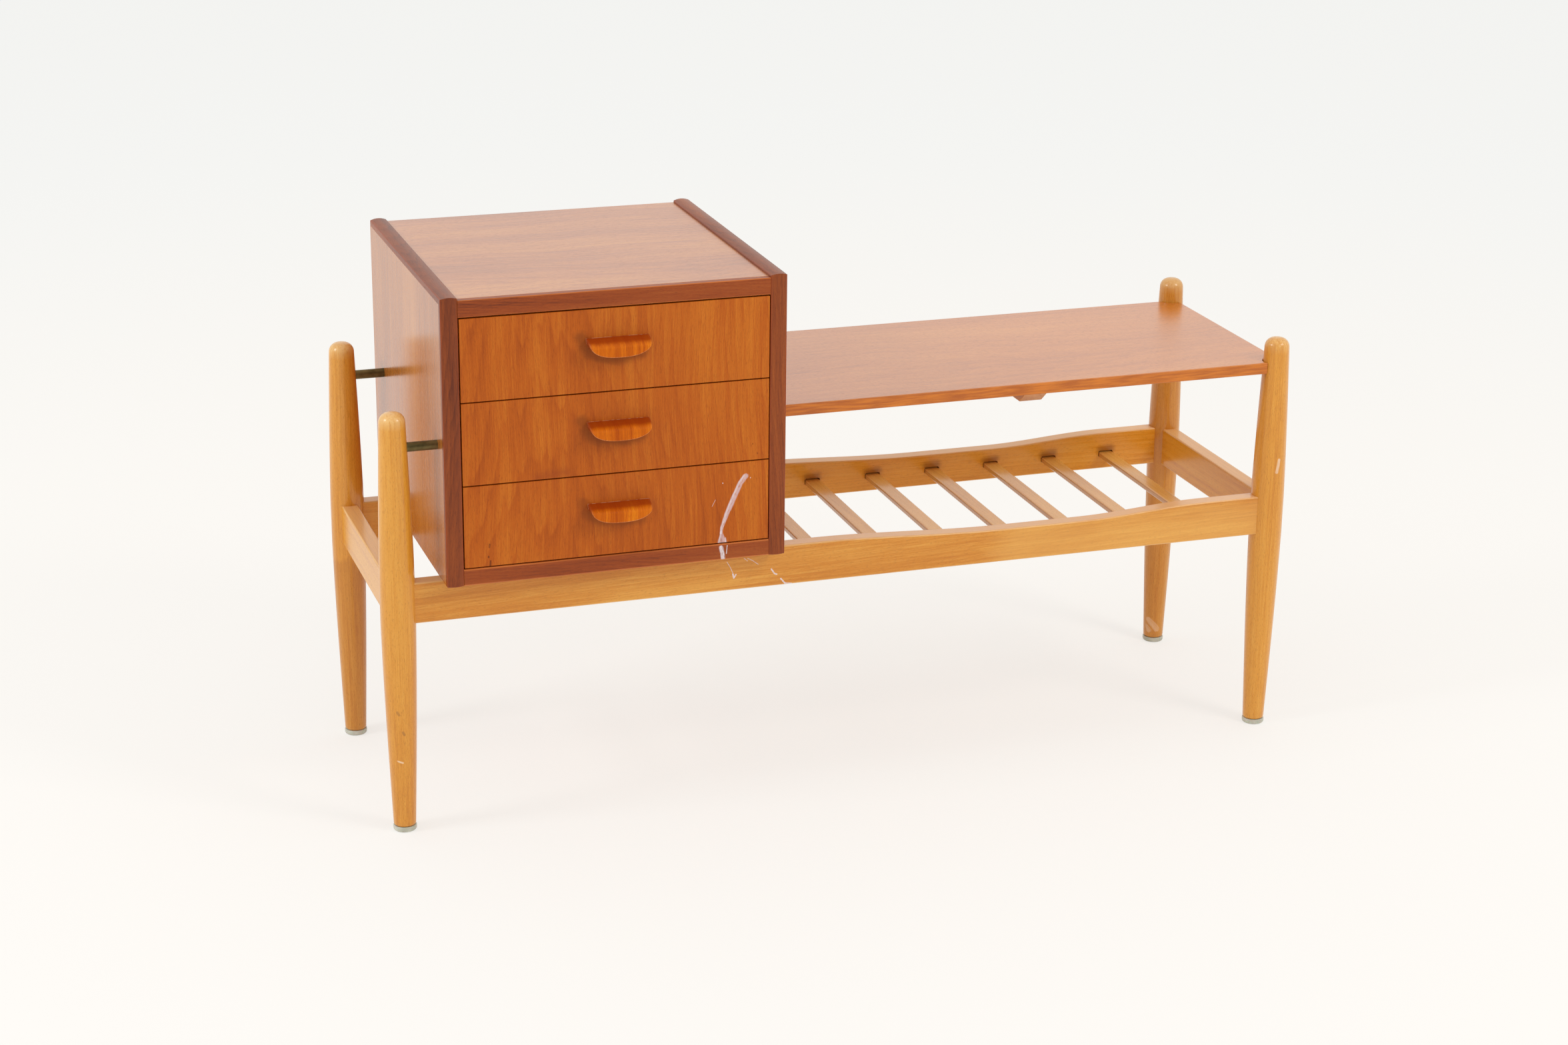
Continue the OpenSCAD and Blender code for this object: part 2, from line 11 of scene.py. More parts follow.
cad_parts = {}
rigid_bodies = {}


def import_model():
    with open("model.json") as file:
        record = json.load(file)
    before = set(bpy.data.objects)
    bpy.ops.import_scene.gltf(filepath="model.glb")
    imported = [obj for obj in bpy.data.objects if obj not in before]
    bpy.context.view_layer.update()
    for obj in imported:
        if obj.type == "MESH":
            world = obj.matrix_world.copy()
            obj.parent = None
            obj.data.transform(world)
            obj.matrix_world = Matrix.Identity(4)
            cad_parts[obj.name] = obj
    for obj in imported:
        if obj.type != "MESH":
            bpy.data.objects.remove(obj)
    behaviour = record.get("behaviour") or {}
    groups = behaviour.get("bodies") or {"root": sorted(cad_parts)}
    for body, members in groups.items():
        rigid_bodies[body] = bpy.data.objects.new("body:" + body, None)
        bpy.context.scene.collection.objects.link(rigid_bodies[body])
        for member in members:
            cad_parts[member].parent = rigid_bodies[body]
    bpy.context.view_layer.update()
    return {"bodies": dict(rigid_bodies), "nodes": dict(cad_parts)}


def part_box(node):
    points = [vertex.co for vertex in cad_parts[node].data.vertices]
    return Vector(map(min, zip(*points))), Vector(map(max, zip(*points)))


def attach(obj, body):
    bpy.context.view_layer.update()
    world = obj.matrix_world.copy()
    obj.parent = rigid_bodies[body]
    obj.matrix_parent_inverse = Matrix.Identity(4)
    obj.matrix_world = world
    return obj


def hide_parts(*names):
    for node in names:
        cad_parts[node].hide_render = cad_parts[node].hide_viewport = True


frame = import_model()
mm = 0.001
print("frame loaded:", len(frame["nodes"]), "nodes")


# Camera
viewpoint = {
    "place": (-1.0677, -3.0586, 1.3727),
    "turnedRight": 18.706,  # degrees
    "tiltedDown": 19.135,
    "rolled": 0.627,
    "lens": 69.83,
    "sensor": 36,
}


def setCamera(view):
    data = bpy.data.cameras.new("camera")
    data.lens, data.sensor_width = view["lens"], view["sensor"]
    camera = bpy.data.objects.new("camera", data)
    bpy.context.scene.collection.objects.link(camera)
    turn = Matrix.Rotation(math.radians(-view["turnedRight"]), 4, "Z")
    tilt = Matrix.Rotation(math.radians(90 - view["tiltedDown"]), 4, "X")
    roll = Matrix.Rotation(math.radians(view["rolled"]), 4, "Z")
    camera.matrix_world = Matrix.Translation(view["place"]) @ turn @ tilt @ roll
    bpy.context.scene.camera = camera


setCamera(viewpoint)
bpy.context.scene.view_settings.view_transform = "Standard"
print("camera set")


# Shader sums
class Wire:
    # One output socket of a node tree. Sums and products of wires add Math
    # nodes; node() makes any other node and gives back one of its outputs.
    def __init__(self, tree, out=None):
        self.tree, self.out = tree, out

    def node(self, kind, settings=None, values=None, take=0):
        made = self.tree.nodes.new("ShaderNode" + kind)
        for name, value in (settings or {}).items():
            if name == "stops":
                fillRamp(made.color_ramp.elements, value)
            else:
                setattr(made, name, value)
        for key, value in (values or {}).items():
            if isinstance(value, Wire):
                self.tree.links.new(value.out, made.inputs[key])
            else:
                made.inputs[key].default_value = value
        if isinstance(take, tuple):
            return [Wire(self.tree, made.outputs[t]) for t in take]
        return Wire(self.tree, made.outputs[take]) if take is not None else made

    def math(self, operation, *others):
        return self.node("Math", {"operation": operation}, dict(enumerate((self, *others))))

    def vector(self, operation, *others, take=0):
        return self.node("VectorMath", {"operation": operation},
                         dict(enumerate((self, *others))), take)

    def __add__(self, other):
        return self.math("ADD", other)

    def __mul__(self, other):
        return self.math("MULTIPLY", other)

    __radd__, __rmul__ = __add__, __mul__

    def __sub__(self, other):
        return self.math("SUBTRACT", other)

    def __rsub__(self, other):
        return self.node("Math", {"operation": "SUBTRACT"}, {0: other, 1: self})

    def __truediv__(self, other):
        return self.math("DIVIDE", other)

    def __pow__(self, other):
        return self.math("POWER", other)


def fillRamp(elements, stops):
    while len(elements) > 1:
        elements.remove(elements[-1])
    elements[0].position, elements[0].color = stops[0]
    for place, colour in stops[1:]:
        elements.new(place).color = colour


def paint(red, green, blue):
    # A screen colour from 0 to 255 as the linear colour that shaders take
    share = np.array([red, green, blue]) / 255
    linear = np.where(share <= 0.04045, share / 12.92, ((share + 0.055) / 1.055) ** 2.4)
    return (*linear.tolist(), 1.0)


def noise(x, y, z, detail=2.0, rough=0.5):
    place = x.node("CombineXYZ", None, {0: x, 1: y, 2: z})
    return x.node("TexNoise", None, {
        "Vector": place, "Scale": 1.0, "Detail": detail, "Roughness": rough})


def between(value, low, high, start=0.0, end=1.0):
    # Goes smoothly from start to end while value goes from low to high
    return value.node("MapRange", {"interpolation_type": "SMOOTHSTEP"},
                      {0: value, 1: low, 2: high, 3: start, 4: end})


def mixed(factor, first, second):
    return factor.node("Mix", {"data_type": "RGBA"}, {0: factor, 6: first, 7: second}, 2)


def newMaterial(name):
    material = bpy.data.materials.new(name)
    material.use_nodes = True
    material.node_tree.nodes.clear()
    return material, Wire(material.node_tree)


# Floor, surroundings and lamps
studio = {
    "floorSize": 60.0,
    "floorWhite": paint(250, 247, 243),
    "nearGlow": paint(254, 252, 248),  # what stands in for the share of the shade
    "farGlow": paint(250, 252, 251),
    "glowFade": (1.0, 3.5),  # metres from the bench, from the near glow to the far one
    "glowShare": 0.66,  # how much of the floor's own shade the camera doesn't see
    "roomLevel": 0.8,  # light from all round
    "roomTint": (1.0, 0.985, 0.96),
    "backdrop": (0.955, 0.945, 0.905),
    "dimFront": 0.45,  # what the darker half of the room, behind the camera, gives
    "dimFade": (0.25, 0.85),  # how far forward a ray points, from pale to dim
    "lampTarget": (0, 0, 0.3),
    "lamps": [
        # name, place, size, watts, tint
        ("keyRight", (1.9, -2.3, 2.6), 1.0, 30, (1.0, 0.97, 0.92)),
        ("windowLeft", (-3.2, -0.3, 2.3), 0.9, 30, (0.95, 0.98, 1.0)),
    ],
}


def seenBy(wire):
    # Two masks: 1 for a ray from the camera, and 1 for a ray from the camera, a
    # mirror or a glass
    camera, glossy, through = wire.node("LightPath", None, None, take=(
        "Is Camera Ray", "Is Glossy Ray", "Is Transmission Ray"))
    return camera, (camera + glossy + through).math("MINIMUM", 1.0)


def makeStudio(look):
    world = bpy.data.worlds.new("surroundings")
    bpy.context.scene.world = world
    world.use_nodes = True
    world.node_tree.nodes.clear()
    wire = Wire(world.node_tree)
    camera, seen = seenBy(wire)
    x, y, z = wire.node("SeparateXYZ", None, {
        0: wire.node("TexCoord", take="Generated")}, take=(0, 1, 2))
    front = between(y * -1.0, *look["dimFade"]) * (1 - camera)
    dim = [look["dimFront"] * share for share in look["backdrop"]]
    pale = mixed(front, (*look["backdrop"], 1), (*dim, 1))
    level = [look["roomLevel"] * tint for tint in look["roomTint"]]
    light = wire.node("Background", None, {
        "Color": mixed(seen, (*level, 1), pale), "Strength": 1.0})
    wire.node("OutputWorld", None, {"Surface": light}, take=None)

    half = look["floorSize"] / 2
    mesh = bpy.data.meshes.new("floor")
    mesh.from_pydata([(-half, -half, 0), (half, -half, 0), (half, half, 0), (-half, half, 0)],
                     [], [(0, 1, 2, 3)])
    floor = bpy.data.objects.new("floor", mesh)
    bpy.context.scene.collection.objects.link(floor)
    material, wire = newMaterial("paleFloor")
    camera, seen = seenBy(wire)
    matt = wire.node("BsdfDiffuse", None, {"Color": look["floorWhite"]})
    away = wire.node("TexCoord", take="Object").vector("LENGTH", take=1)
    pale = mixed(between(away, *look["glowFade"]), look["nearGlow"], look["farGlow"])
    glow = wire.node("Emission", None, {"Color": pale, "Strength": 1.0})
    both = wire.node("MixShader", None, {0: seen * look["glowShare"], 1: matt, 2: glow})
    wire.node("OutputMaterial", None, {"Surface": both}, take=None)
    mesh.materials.append(material)

    target = Vector(look["lampTarget"])
    for name, place, size, watts, tint in look["lamps"]:
        data = bpy.data.lights.new(name, "AREA")
        data.size, data.energy, data.color = size, watts, tint
        lamp = bpy.data.objects.new(name, data)
        lamp.location = place
        lamp.rotation_euler = (target - Vector(place)).to_track_quat("-Z", "Y").to_euler()
        bpy.context.scene.collection.objects.link(lamp)


makeStudio(studio)
print("floor, surroundings and lamps set")

# Wood finishes
grainNoise = {
    # name: scale across the grain and along it, detail, roughness
    "uneven": (70, 5, 2.0, 0.5),
    "broad": (12, 2.5, 2.0, 0.5),
    "band": (110, 2.5, 2.0, 0.5),
    "fibre": (640, 16, 4.0, 0.62),
    "fine": (2600, 60, 2.0, 0.5),
}
grainLook = {
    "bendScale": 5,
    "lateFall": (0.88, 1.0),  # where in a ring the late wood ends
    "latePatches": (0.35, 0.65, 0.25, 1.0),  # unevenness from and to, share from and to
    "lateMiddle": 0.25,  # the late wood that leaves the tone as it is
    "poreEdge": 0.1,
    "darkAt": 0.15, "middleAt": 0.5, "lightAt": 0.85,  # tones of the three colours
    "wornAndLitPatches": (0.8, 1.15, 0.35, 1.0),
    "roughFibre": 0.12, "roughPores": 0.1,
    "raisedFibre": 0.5, "raisedFine": 0.2,
}


def woodGrain(place, look, shared=grainLook):
    # Growth rings are round shells about a far pith, with grain lines bent by
    # slow noise. Each ring darkens with the square of the way across it, then
    # falls off. Bands, fibres and pores are noise drawn out along the grain.
    parts = place.node("SeparateXYZ", None, {0: place}, take=(0, 1, 2))
    run = parts.pop("xyz".index(look["grain"]))
    first, second = parts[0], parts[1] * look["depthShare"]
    scale = shared["bendScale"]
    slow = noise(first * scale, second * scale, run * look["bends"], 1.0)
    bent = first + (slow - 0.5) * look["wander"]
    drawn = {name: noise(bent * across, second * across, run * along, detail, rough)
             for name, (across, along, detail, rough) in grainNoise.items()}
    deep = second + run * look["tilt"]
    far = ((bent + look["pith"][0]) ** 2.0 + (deep + look["pith"][1]) ** 2.0) ** 0.5
    ring = (far / look["ringWidth"] + drawn["uneven"] * look["uneven"]).math("FRACT")
    late = ring ** 2.0 * between(ring, *shared["lateFall"], 1.0, 0.0)
    thin, long = look["poreSize"]
    pores = noise(bent * thin, second * thin, run * long, 1.0)
    return {
        **drawn,
        "late": late * between(drawn["uneven"], *shared["latePatches"]),
        "pores": between(pores, look["poreStart"], look["poreStart"] + shared["poreEdge"]),
    }


def woodMaterial(name, look, marks=(), shared=grainLook):
    material, wire = newMaterial(name)
    place = wire.node("TexCoord", take="Object")
    turned = wire.node("Mapping", None, {
        "Vector": place, "Location": look["shift"],
        "Rotation": [math.radians(a) for a in look["lean"]]})
    grain = woodGrain(turned, look)
    tone = (0.5 + (grain["broad"] - 0.5) * look["broad"] + (grain["band"] - 0.5) * look["band"]
            + (shared["lateMiddle"] - grain["late"]) * look["rings"]
            + (grain["fibre"] - 0.5) * look["fibre"] + (grain["fine"] - 0.5) * look["fine"])
    stops = [(shared[tint + "At"], paint(*look[tint])) for tint in ("dark", "middle", "light")]
    colour = wire.node("ValToRGB", {"stops": stops}, {"Fac": tone})
    colour = mixed(grain["pores"] * look["poreDepth"], colour, paint(*look["pore"]))
    # Paler arrises where a piece carries the attribute of arris wear and highlight: wear, and on
    # the pulls' rims and the long edgings also a painted highlight
    wear = wire.node("Attribute", {"attribute_name": "wear"}, None, "Fac")
    patchy = wear * between(grain["fibre"] + grain["broad"], *shared["wornAndLitPatches"])
    colour = mixed(patchy * look["wearAndHighlightShare"], colour, paint(*look["wornAndLit"]))
    rough = (look["rough"] + (grain["fibre"] - 0.5) * shared["roughFibre"]
             + grain["pores"] * shared["roughPores"])
    surface = {"Base Color": colour, "Roughness": rough, "Coat Weight": look["coat"]}
    for mark in marks:
        surface = mark(place, surface)
    height = (grain["fibre"] * shared["raisedFibre"] + grain["fine"] * shared["raisedFine"]
              - grain["pores"] * look["poreDepth"])
    bump = wire.node("Bump", None, {
        "Strength": 1.0, "Distance": look["relief"], "Height": height})
    shader = wire.node("BsdfPrincipled", None, {
        **surface, "Normal": bump, "Specular IOR Level": look["gloss"],
        "Coat Roughness": look["coatRough"]})
    wire.node("OutputMaterial", None, {"Surface": shader}, take=None)
    return material


def awayFrom(place, paths):
    # Distance from the nearest stretch of some paths, whose points are in millimetres
    nearest = None
    for path in paths:
        points = [np.array(point) * mm for point in path]
        for start, end in zip(points, points[1:]):
            step = end - start
            offset = place.vector("SUBTRACT", tuple(start))
            share = offset.vector("DOT_PRODUCT", tuple(step / (step @ step)), take=1)
            share = share.math("MAXIMUM", 0.0).math("MINIMUM", 1.0)
            foot = place.node("VectorMath", {"operation": "SCALE"}, {0: tuple(step), 3: share})
            gap = offset.vector("SUBTRACT", foot).vector("LENGTH", take=1)
            nearest = gap if nearest is None else nearest.math("MINIMUM", gap)
    return nearest


pathMarkLook = {
    "drawnOut": 0.1,  # scale along the lines as a share of that across
    "ragged": 0.9, "edge": 1.05,  # shares of the half width
    "thinFrom": -0.12, "thinTo": 0.08,  # about the patch level
    "duller": 0.2,
}
brushed = {"scratch": 1500, "patch": 0.5, "core": 0.2}
coarseLines = {"scratch": 120, "patch": 0.25}


def pathMark(paths, width, colour, cover, scratch=1300, patch=0.45, core=0.6, look=pathMarkLook):
    # A mark along paths, for paint streaks, scuffs and specks and also for painted
    # shade and shadow, broken into lines that run with the first one: scratch is how
    # fine they are, and more of the mark is missing the higher patch is. core is the
    # fully covered share of its half width. Four values for width are a low height,
    # the width there, a high height, the width there.
    step = np.array(paths[0][-1]) - paths[0][0]
    run = step / np.linalg.norm(step)
    across = np.cross(run, (0, 1, 0))

    def mark(place, surface):
        half = width / 2 * mm if isinstance(width, (int, float)) else between(
            place.node("SeparateXYZ", None, {0: place}, 2), width[0] * mm, width[2] * mm,
            width[1] / 2 * mm, width[3] / 2 * mm)
        along, side = (place.vector("DOT_PRODUCT", tuple(axis), take=1) for axis in (run, across))
        lines = noise(side * scratch, along * scratch * look["drawnOut"], 0.0, 3.0, 0.6)
        edge = (awayFrom(place, paths) + (lines - 0.5) * look["ragged"] * half) / half
        body = between(edge, core, look["edge"], cover, 0.0)
        body = body * between(lines, patch + look["thinFrom"], patch + look["thinTo"],
                              1.0 - cover, 1.0)
        return {**surface, "Base Color": mixed(body, surface["Base Color"], paint(*colour)),
                "Roughness": surface["Roughness"] + body * look["duller"]}
    return mark


def facing(y, *paths):
    return [[(x, y, z) for x, z in path] for path in paths]


oak = {
    "grain": "z", "shift": (0, 0, 0), "lean": (0, 0, 0), "bends": 1.5, "wander": 0.02,
    "tilt": 0.03, "depthShare": 1.0, "pith": (0.09, 0.05), "ringWidth": 0.005,
    "uneven": 1.6, "poreStart": 0.6, "broad": 0.5, "band": 0.25, "rings": 0.15,
    "fibre": 0.45, "fine": 0.3, "poreDepth": 0.45, "poreSize": (2800, 240),
    "dark": (184, 102, 16), "middle": (218, 148, 48), "light": (236, 176, 78),
    "pore": (150, 84, 20), "wornAndLit": (242, 204, 142), "wearAndHighlightShare": 0.6, "rough": 0.34,
    "relief": 0.02 * mm, "gloss": 0.2, "coat": 0.7, "coatRough": 0.16,
}
slatOak = {**oak, "grain": "y", "dark": (206, 140, 50), "middle": (242, 190, 92),
           "light": (250, 208, 126), "coat": 0.8}
teakFront = {
    **oak, "bends": 4.0, "wander": 0.03, "tilt": 0.1, "pith": (0.35, 0.3),
    "ringWidth": 0.007, "uneven": 2.2, "poreStart": 0.58, "broad": 0.6, "band": 0.3,
    "rings": 0.2, "fibre": 0.5, "poreDepth": 0.4, "poreSize": (4200, 190),
    "dark": (148, 62, 4), "middle": (184, 90, 12), "light": (208, 120, 30),
    "pore": (110, 40, 4), "wornAndLit": (214, 140, 70), "rough": 0.4, "gloss": 0.22,
    "coat": 0.0,
}
teakTop = {**teakFront, "grain": "x", "bends": 6.0, "wander": 0.045, "pith": (0.12, -0.5),
           "broad": 0.9, "poreDepth": 0.6,
           "dark": (146, 68, 14), "middle": (190, 104, 26), "light": (218, 138, 48),
           "rough": 0.32, "gloss": 0.5, "coat": 0.9, "coatRough": 0.26}
teakSide = {**teakFront, "broad": 0.8, "dark": (140, 72, 16), "middle": (180, 104, 32),
            "light": (204, 130, 52), "rough": 0.2, "gloss": 0.5, "coat": 0.2, "coatRough": 0.2,
            "relief": 0.008 * mm}
shelfTeak = {**teakTop, "pith": (0.05, -0.3), "broad": 0.6, "rings": 0.12,
             "dark": (172, 88, 20), "middle": (206, 118, 30), "light": (224, 140, 50)}
edging = {
    **teakFront, "ringWidth": 0.0035, "band": 0.6, "dark": (88, 32, 10),
    "middle": (136, 62, 18), "light": (166, 84, 28), "pore": (60, 22, 6),
    "wornAndLit": (156, 66, 34), "wearAndHighlightShare": 0.5, "rough": 0.34, "gloss": 0.3,
}
# The pulls' pale rim colour is wear and a painted highlight along the arris
pullTeak = {**teakFront, "depthShare": 0.06, "rings": 0.06, "band": 0.5, "dark": (156, 54, 2),
            "middle": (210, 106, 8), "light": (244, 156, 26), "wornAndLit": (232, 164, 112),
            "wearAndHighlightShare": 0.9, "rough": 0.36, "gloss": 0.12}
drawerWood = {**oak, "rings": 0.2, "dark": (190, 148, 98), "middle": (222, 186, 136),
              "light": (236, 210, 168), "pore": (160, 116, 72), "poreDepth": 0.25,
              "rough": 0.5, "coat": 0.0, "gloss": 0.4}

# Paint streaks, scratches, specks and painted shade and shadow; x and z in millimetres on a face
faceY, railFaceY, backFaceY = (
    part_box(node)[0][1] / mm for node in ("drawer_front_1", "front_rail", "back_rail"))
pullTops = [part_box("drawer_pull_%d" % i)[1][2] / mm for i in (1, 2, 3)]
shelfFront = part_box("shelf_board")[0][1]
slatNames = ["slat_%d" % (i + 1) for i in range(7)]
slatStarts = [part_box(node)[0][0] / mm for node in slatNames]
white, lilac = (232, 224, 230), (224, 206, 212)
# Painted shadow of a pull on its drawer front
pullShadowLook = {
    # x, and the height above the pull's top
    "path": [(-309, 1), (-306, -8), (-301, -15), (-290, -20.5), (-268, -22.5), (-246, -21)],
    "width": 19, "colour": (136, 66, 16), "core": 0.15,
}
# Painted shade on a pull's top near its drawer, and the pale dust in that corner
cornerShadeAndDustLook = {
    # distances in front of the drawer, in millimetres
    "darkGone": 17.2, "darkFull": 10, "dark": (146, 50, 8), "darkShare": 0.85,
    "ragged": 3, "raggedScale": (120, 60, 60),
    "dustGone": 1.2, "dustFull": 0.7, "dust": (206, 166, 134), "dustScale": (160, 20),
    "dustPatches": (0.42, 0.56, 0.1, 0.75),
}
shelfEdgeLook = {
    # distances behind the shelf's front, in millimetres
    "full": 0.3, "gone": 0.9, "share": 0.8, "streakScale": (30, 420),
    "dark": (166, 80, 12), "light": (216, 124, 28),
}


def pullShadow(top, cover, look=pullShadowLook):
    # Painted shadow that a pull casts on its drawer front, beside and under it
    path = [(x, top + rise) for x, rise in look["path"]]
    return pathMark(facing(faceY, path), look["width"], look["colour"], cover,
                 core=look["core"], **coarseLines)


def cornerShadeAndDust(place, surface, look=cornerShadeAndDustLook):
    # A pull's top is darker up to where its face turns down, painted shade and
    # reflection of the darker drawer front in that corner, with real pale dust in
    # the corner against the drawer
    x, y, z = place.node("SeparateXYZ", None, {0: place}, take=(0, 1, 2))
    a, b, c = look["raggedScale"]
    wornAndLit = (noise(x * a, y * b, z * c) - 0.5) * look["ragged"] * mm
    near = between(y + wornAndLit, (faceY - look["darkGone"]) * mm, (faceY - look["darkFull"]) * mm,
                   0.0, look["darkShare"])
    colour = mixed(near, surface["Base Color"], paint(*look["dark"]))
    across, up = look["dustScale"]
    dust = between(y, (faceY - look["dustGone"]) * mm, (faceY - look["dustFull"]) * mm)
    dust = dust * between(noise(x * across, z * up, 0.0), *look["dustPatches"])
    return {**surface, "Base Color": mixed(dust, colour, paint(*look["dust"]))}


def paintedLightByFacing(low, high, colour, share):
    # Painted light and shade: a tint for the faces whose normal rises from low to high, or the
    # other way
    def mark(place, surface):
        up = place.node("SeparateXYZ", None, {0: place.node("TexCoord", take="Normal")}, 2)
        return {**surface, "Base Color": mixed(
            between(up, low, high, 0.0, share), surface["Base Color"], paint(*colour))}
    return mark


def shelfEdge(place, surface, look=shelfEdgeLook):
    # The front edge is solid wood: streaked, more orange and duller than the
    # lacquered top
    x, y, z = place.node("SeparateXYZ", None, {0: place}, take=(0, 1, 2))
    along, up = look["streakScale"]
    solid = mixed(between(noise(x * along, 0.0, z * up, 3.0), 0.25, 0.75),
                  paint(*look["dark"]), paint(*look["light"]))
    front = between(y, shelfFront + look["full"] * mm, shelfFront + look["gone"] * mm, 1.0, 0.0)
    return {**surface, "Coat Weight": surface["Coat Weight"] * (1 - front),
            "Base Color": mixed(front * look["share"], surface["Base Color"], solid)}


bottomMarks = [
    pullShadow(pullTops[0], 0.5),
    pathMark(facing(faceY, [(-132, 370), (-137.6, 363.2), (-144.4, 348.7), (-152.5, 330.3),
                         (-158, 315), (-159, 309)]), (303, 2.8, 345, 6.6), lilac, 0.66),
    pathMark(facing(faceY, [(-134, 371), (-139.3, 364), (-146.1, 349.4), (-154, 331), (-159, 315.5),
                         (-159.4, 309)], [(-143, 356), (-151.5, 337), (-156.6, 321)]),
          3.0, white, 0.6, **brushed),
    pathMark(facing(faceY, [(-158.6, 311), (-157.5, 296)]), (298, 11.5, 311, 2.6), lilac, 0.55),
    pathMark(facing(faceY, [(-159.2, 311), (-160.4, 304), (-162, 297)],
                 [(-154.4, 303), (-153.8, 297)]), 2.4, white, 0.6, **brushed),
    pathMark(facing(faceY, [(-157.4, 364.6), (-157.3, 364.2)], [(-126.9, 367.9), (-126.8, 367.5)]),
          1.1, white, 0.7, scratch=900, patch=0.2),
    pathMark(facing(faceY, [(-165.4, 346.7), (-169, 339.8)]), 0.6, white, 0.5,
          scratch=900, patch=0.3),
    pathMark(facing(faceY, [(-408.5, 322), (-409, 319)], [(-410, 309), (-410, 308)],
                 [(-408, 304), (-408.4, 298)]), 2.2, (70, 26, 8), 0.6, scratch=700, patch=0.4),
]
middleMarks = [
    pullShadow(pullTops[1], 0.7),
    pathMark(facing(faceY, [(-357, 390), (-342, 392), (-327, 393.5)]), 17, (140, 56, 20), 0.4,
          core=0.0, **coarseLines),
    pathMark(facing(faceY, [(-124.6, 405.2), (-124.5, 404.6)], [(-119.4, 394.4), (-119.3, 393.8)]),
          1.6, (96, 34, 6), 0.5, scratch=700, patch=0.3),
]
topMarks = [pullShadow(pullTops[2], 0.7)]
floorEdgingMarks = [
    pathMark(facing(faceY, [(-159, 293), (-157.7, 287), (-156.8, 281)]), 5.4, white, 0.9),
    pathMark(facing(faceY, [(-152.2, 294.5), (-153.1, 285.6)]), 1.2, white, 0.7),
]
railMarks = [
    # The front rail is paler towards the right leg
    pathMark(facing(railFaceY, [(200, 240), (480, 240)]), 110, (242, 190, 104), 0.32,
          core=0.3, **coarseLines),
    pathMark(facing(railFaceY, [(-145, 267), (-141, 260), (-137.3, 251)], [(-126, 269.6), (-122, 266)],
                 [(-122, 269), (-116.5, 266), (-110, 261)]), 0.9, white, 0.7),
    pathMark(facing(railFaceY, [(-138.5, 252.5), (-137.3, 248.2), (-135, 251.8)],
                 [(-95, 254), (-91.6, 248.6), (-89, 247.4)],
                 [(-84.3, 242), (-79.5, 236.2), (-72, 235)]), 1.9, white, 0.9),
]
legMarks = [
    # Painted shade: the back legs, in the shade of the bench, are a deeper orange, the left one
    # only below
    pathMark([[(500, 136.8, 30), (500, 136.8, 560)], [(-500, 136.8, 20), (-500, 136.8, 190)]], 64,
          (146, 66, 2), 0.24, core=0.8, **coarseLines),
    # Scuffs
    pathMark([[(502.6, -153.6, 324), (501.8, -153.8, 317), (500.5, -153.9, 310)]], 4.5,
          (238, 208, 178), 0.7, scratch=260),
    pathMark([[(489, 129.5, 29.5), (494, 125, 23.5), (498.5, 123.6, 18)],
           [(485, 131, 22), (489, 128.5, 16)]], 9, (232, 190, 148), 0.6, scratch=220),
    pathMark([[(-509, -149.2, 84), (-503, -151, 82)]], 2.6, (244, 214, 176), 0.75,
          scratch=500, patch=0.4),
    pathMark([[(-507, -150.8, 140), (-505.5, -151.4, 137)],
           [(-502, -152.2, 117), (-500.5, -152.3, 114)]], 3.2, (138, 84, 40), 0.45,
          scratch=500, patch=0.4),
]
# The back rail is darker over each slat, painted shade about the mortises and dirt, and the rails'
# upper faces are paler, a painted reflection of the pale room
shadeAndDirtOverSlats = pathMark(facing(backFaceY, *([(x + 2, 258), (x + 15, 259)] for x in slatStarts)), 16,
               (112, 56, 10), 0.55, core=0.0, **coarseLines)
paintedTopGlare = paintedLightByFacing(0.7, 0.95, (255, 214, 158), 0.65)

woodFinishes = {
    # name: look and marks
    "oakUpright": (oak, legMarks),
    "oakFront": ({**oak, "grain": "x", "lean": (0, 2.0, 0), "broad": 0.75,
                  "dark": (172, 94, 16), "middle": (208, 131, 32)}, [*railMarks, paintedTopGlare]),
    "oakLong": ({**oak, "grain": "x", "shift": (0.3, 0, 0), "middle": (220, 144, 30),
                 "coat": 0.4}, [shadeAndDirtOverSlats, paintedTopGlare]),
    # Painted reflection of the pale room on the end rails' upper faces
    "oakCross": ({**oak, "grain": "y", "middle": (224, 154, 38), "coat": 0.5},
                 [paintedLightByFacing(0.7, 0.95, (255, 220, 172), 0.4)]),
    # Painted shade: the slats' sides are darker than their tops
    "slatOak": (slatOak, [paintedLightByFacing(0.8, 0.3, (160, 84, 28), 0.6)]),
    "teakFrontTop": (teakFront, topMarks),
    "teakFrontMiddle": (teakFront, middleMarks),
    "teakFrontBottom": (teakFront, bottomMarks),
    "teakTop": (teakTop, []),
    "teakSide": (teakSide, []),
    "shelfTeak": (shelfTeak, [shelfEdge]),
    "edgingUpright": (edging, []),
    "edgingCross": ({**edging, "grain": "y"}, []),
    # The long edgings' pale arrises are wear and a painted highlight on the upper arris
    "edgingLong": ({**edging, "grain": "x", "middle": (150, 66, 14), "wornAndLit": (214, 122, 56),
                    "wearAndHighlightShare": 0.8}, floorEdgingMarks),
    "pullTeak": (pullTeak, [cornerShadeAndDust]),
    # The cleat's paler teak is painted light, standing in for light from the pale floor below
    "cleatTeak": ({**teakFront, "grain": "y", "middle": (206, 134, 70),
                   "light": (222, 156, 92)}, []),
    "drawerSideWood": ({**drawerWood, "grain": "y"}, []),
    "drawerBackWood": ({**drawerWood, "grain": "x"}, []),
    "plywood": ({**drawerWood, "grain": "x", "middle": (206, 162, 110)}, []),
    "plywoodUpright": ({**drawerWood, "middle": (186, 134, 84), "light": (206, 160, 112)}, []),
}
finishes = {name: woodMaterial(name, *row) for name, row in woodFinishes.items()}

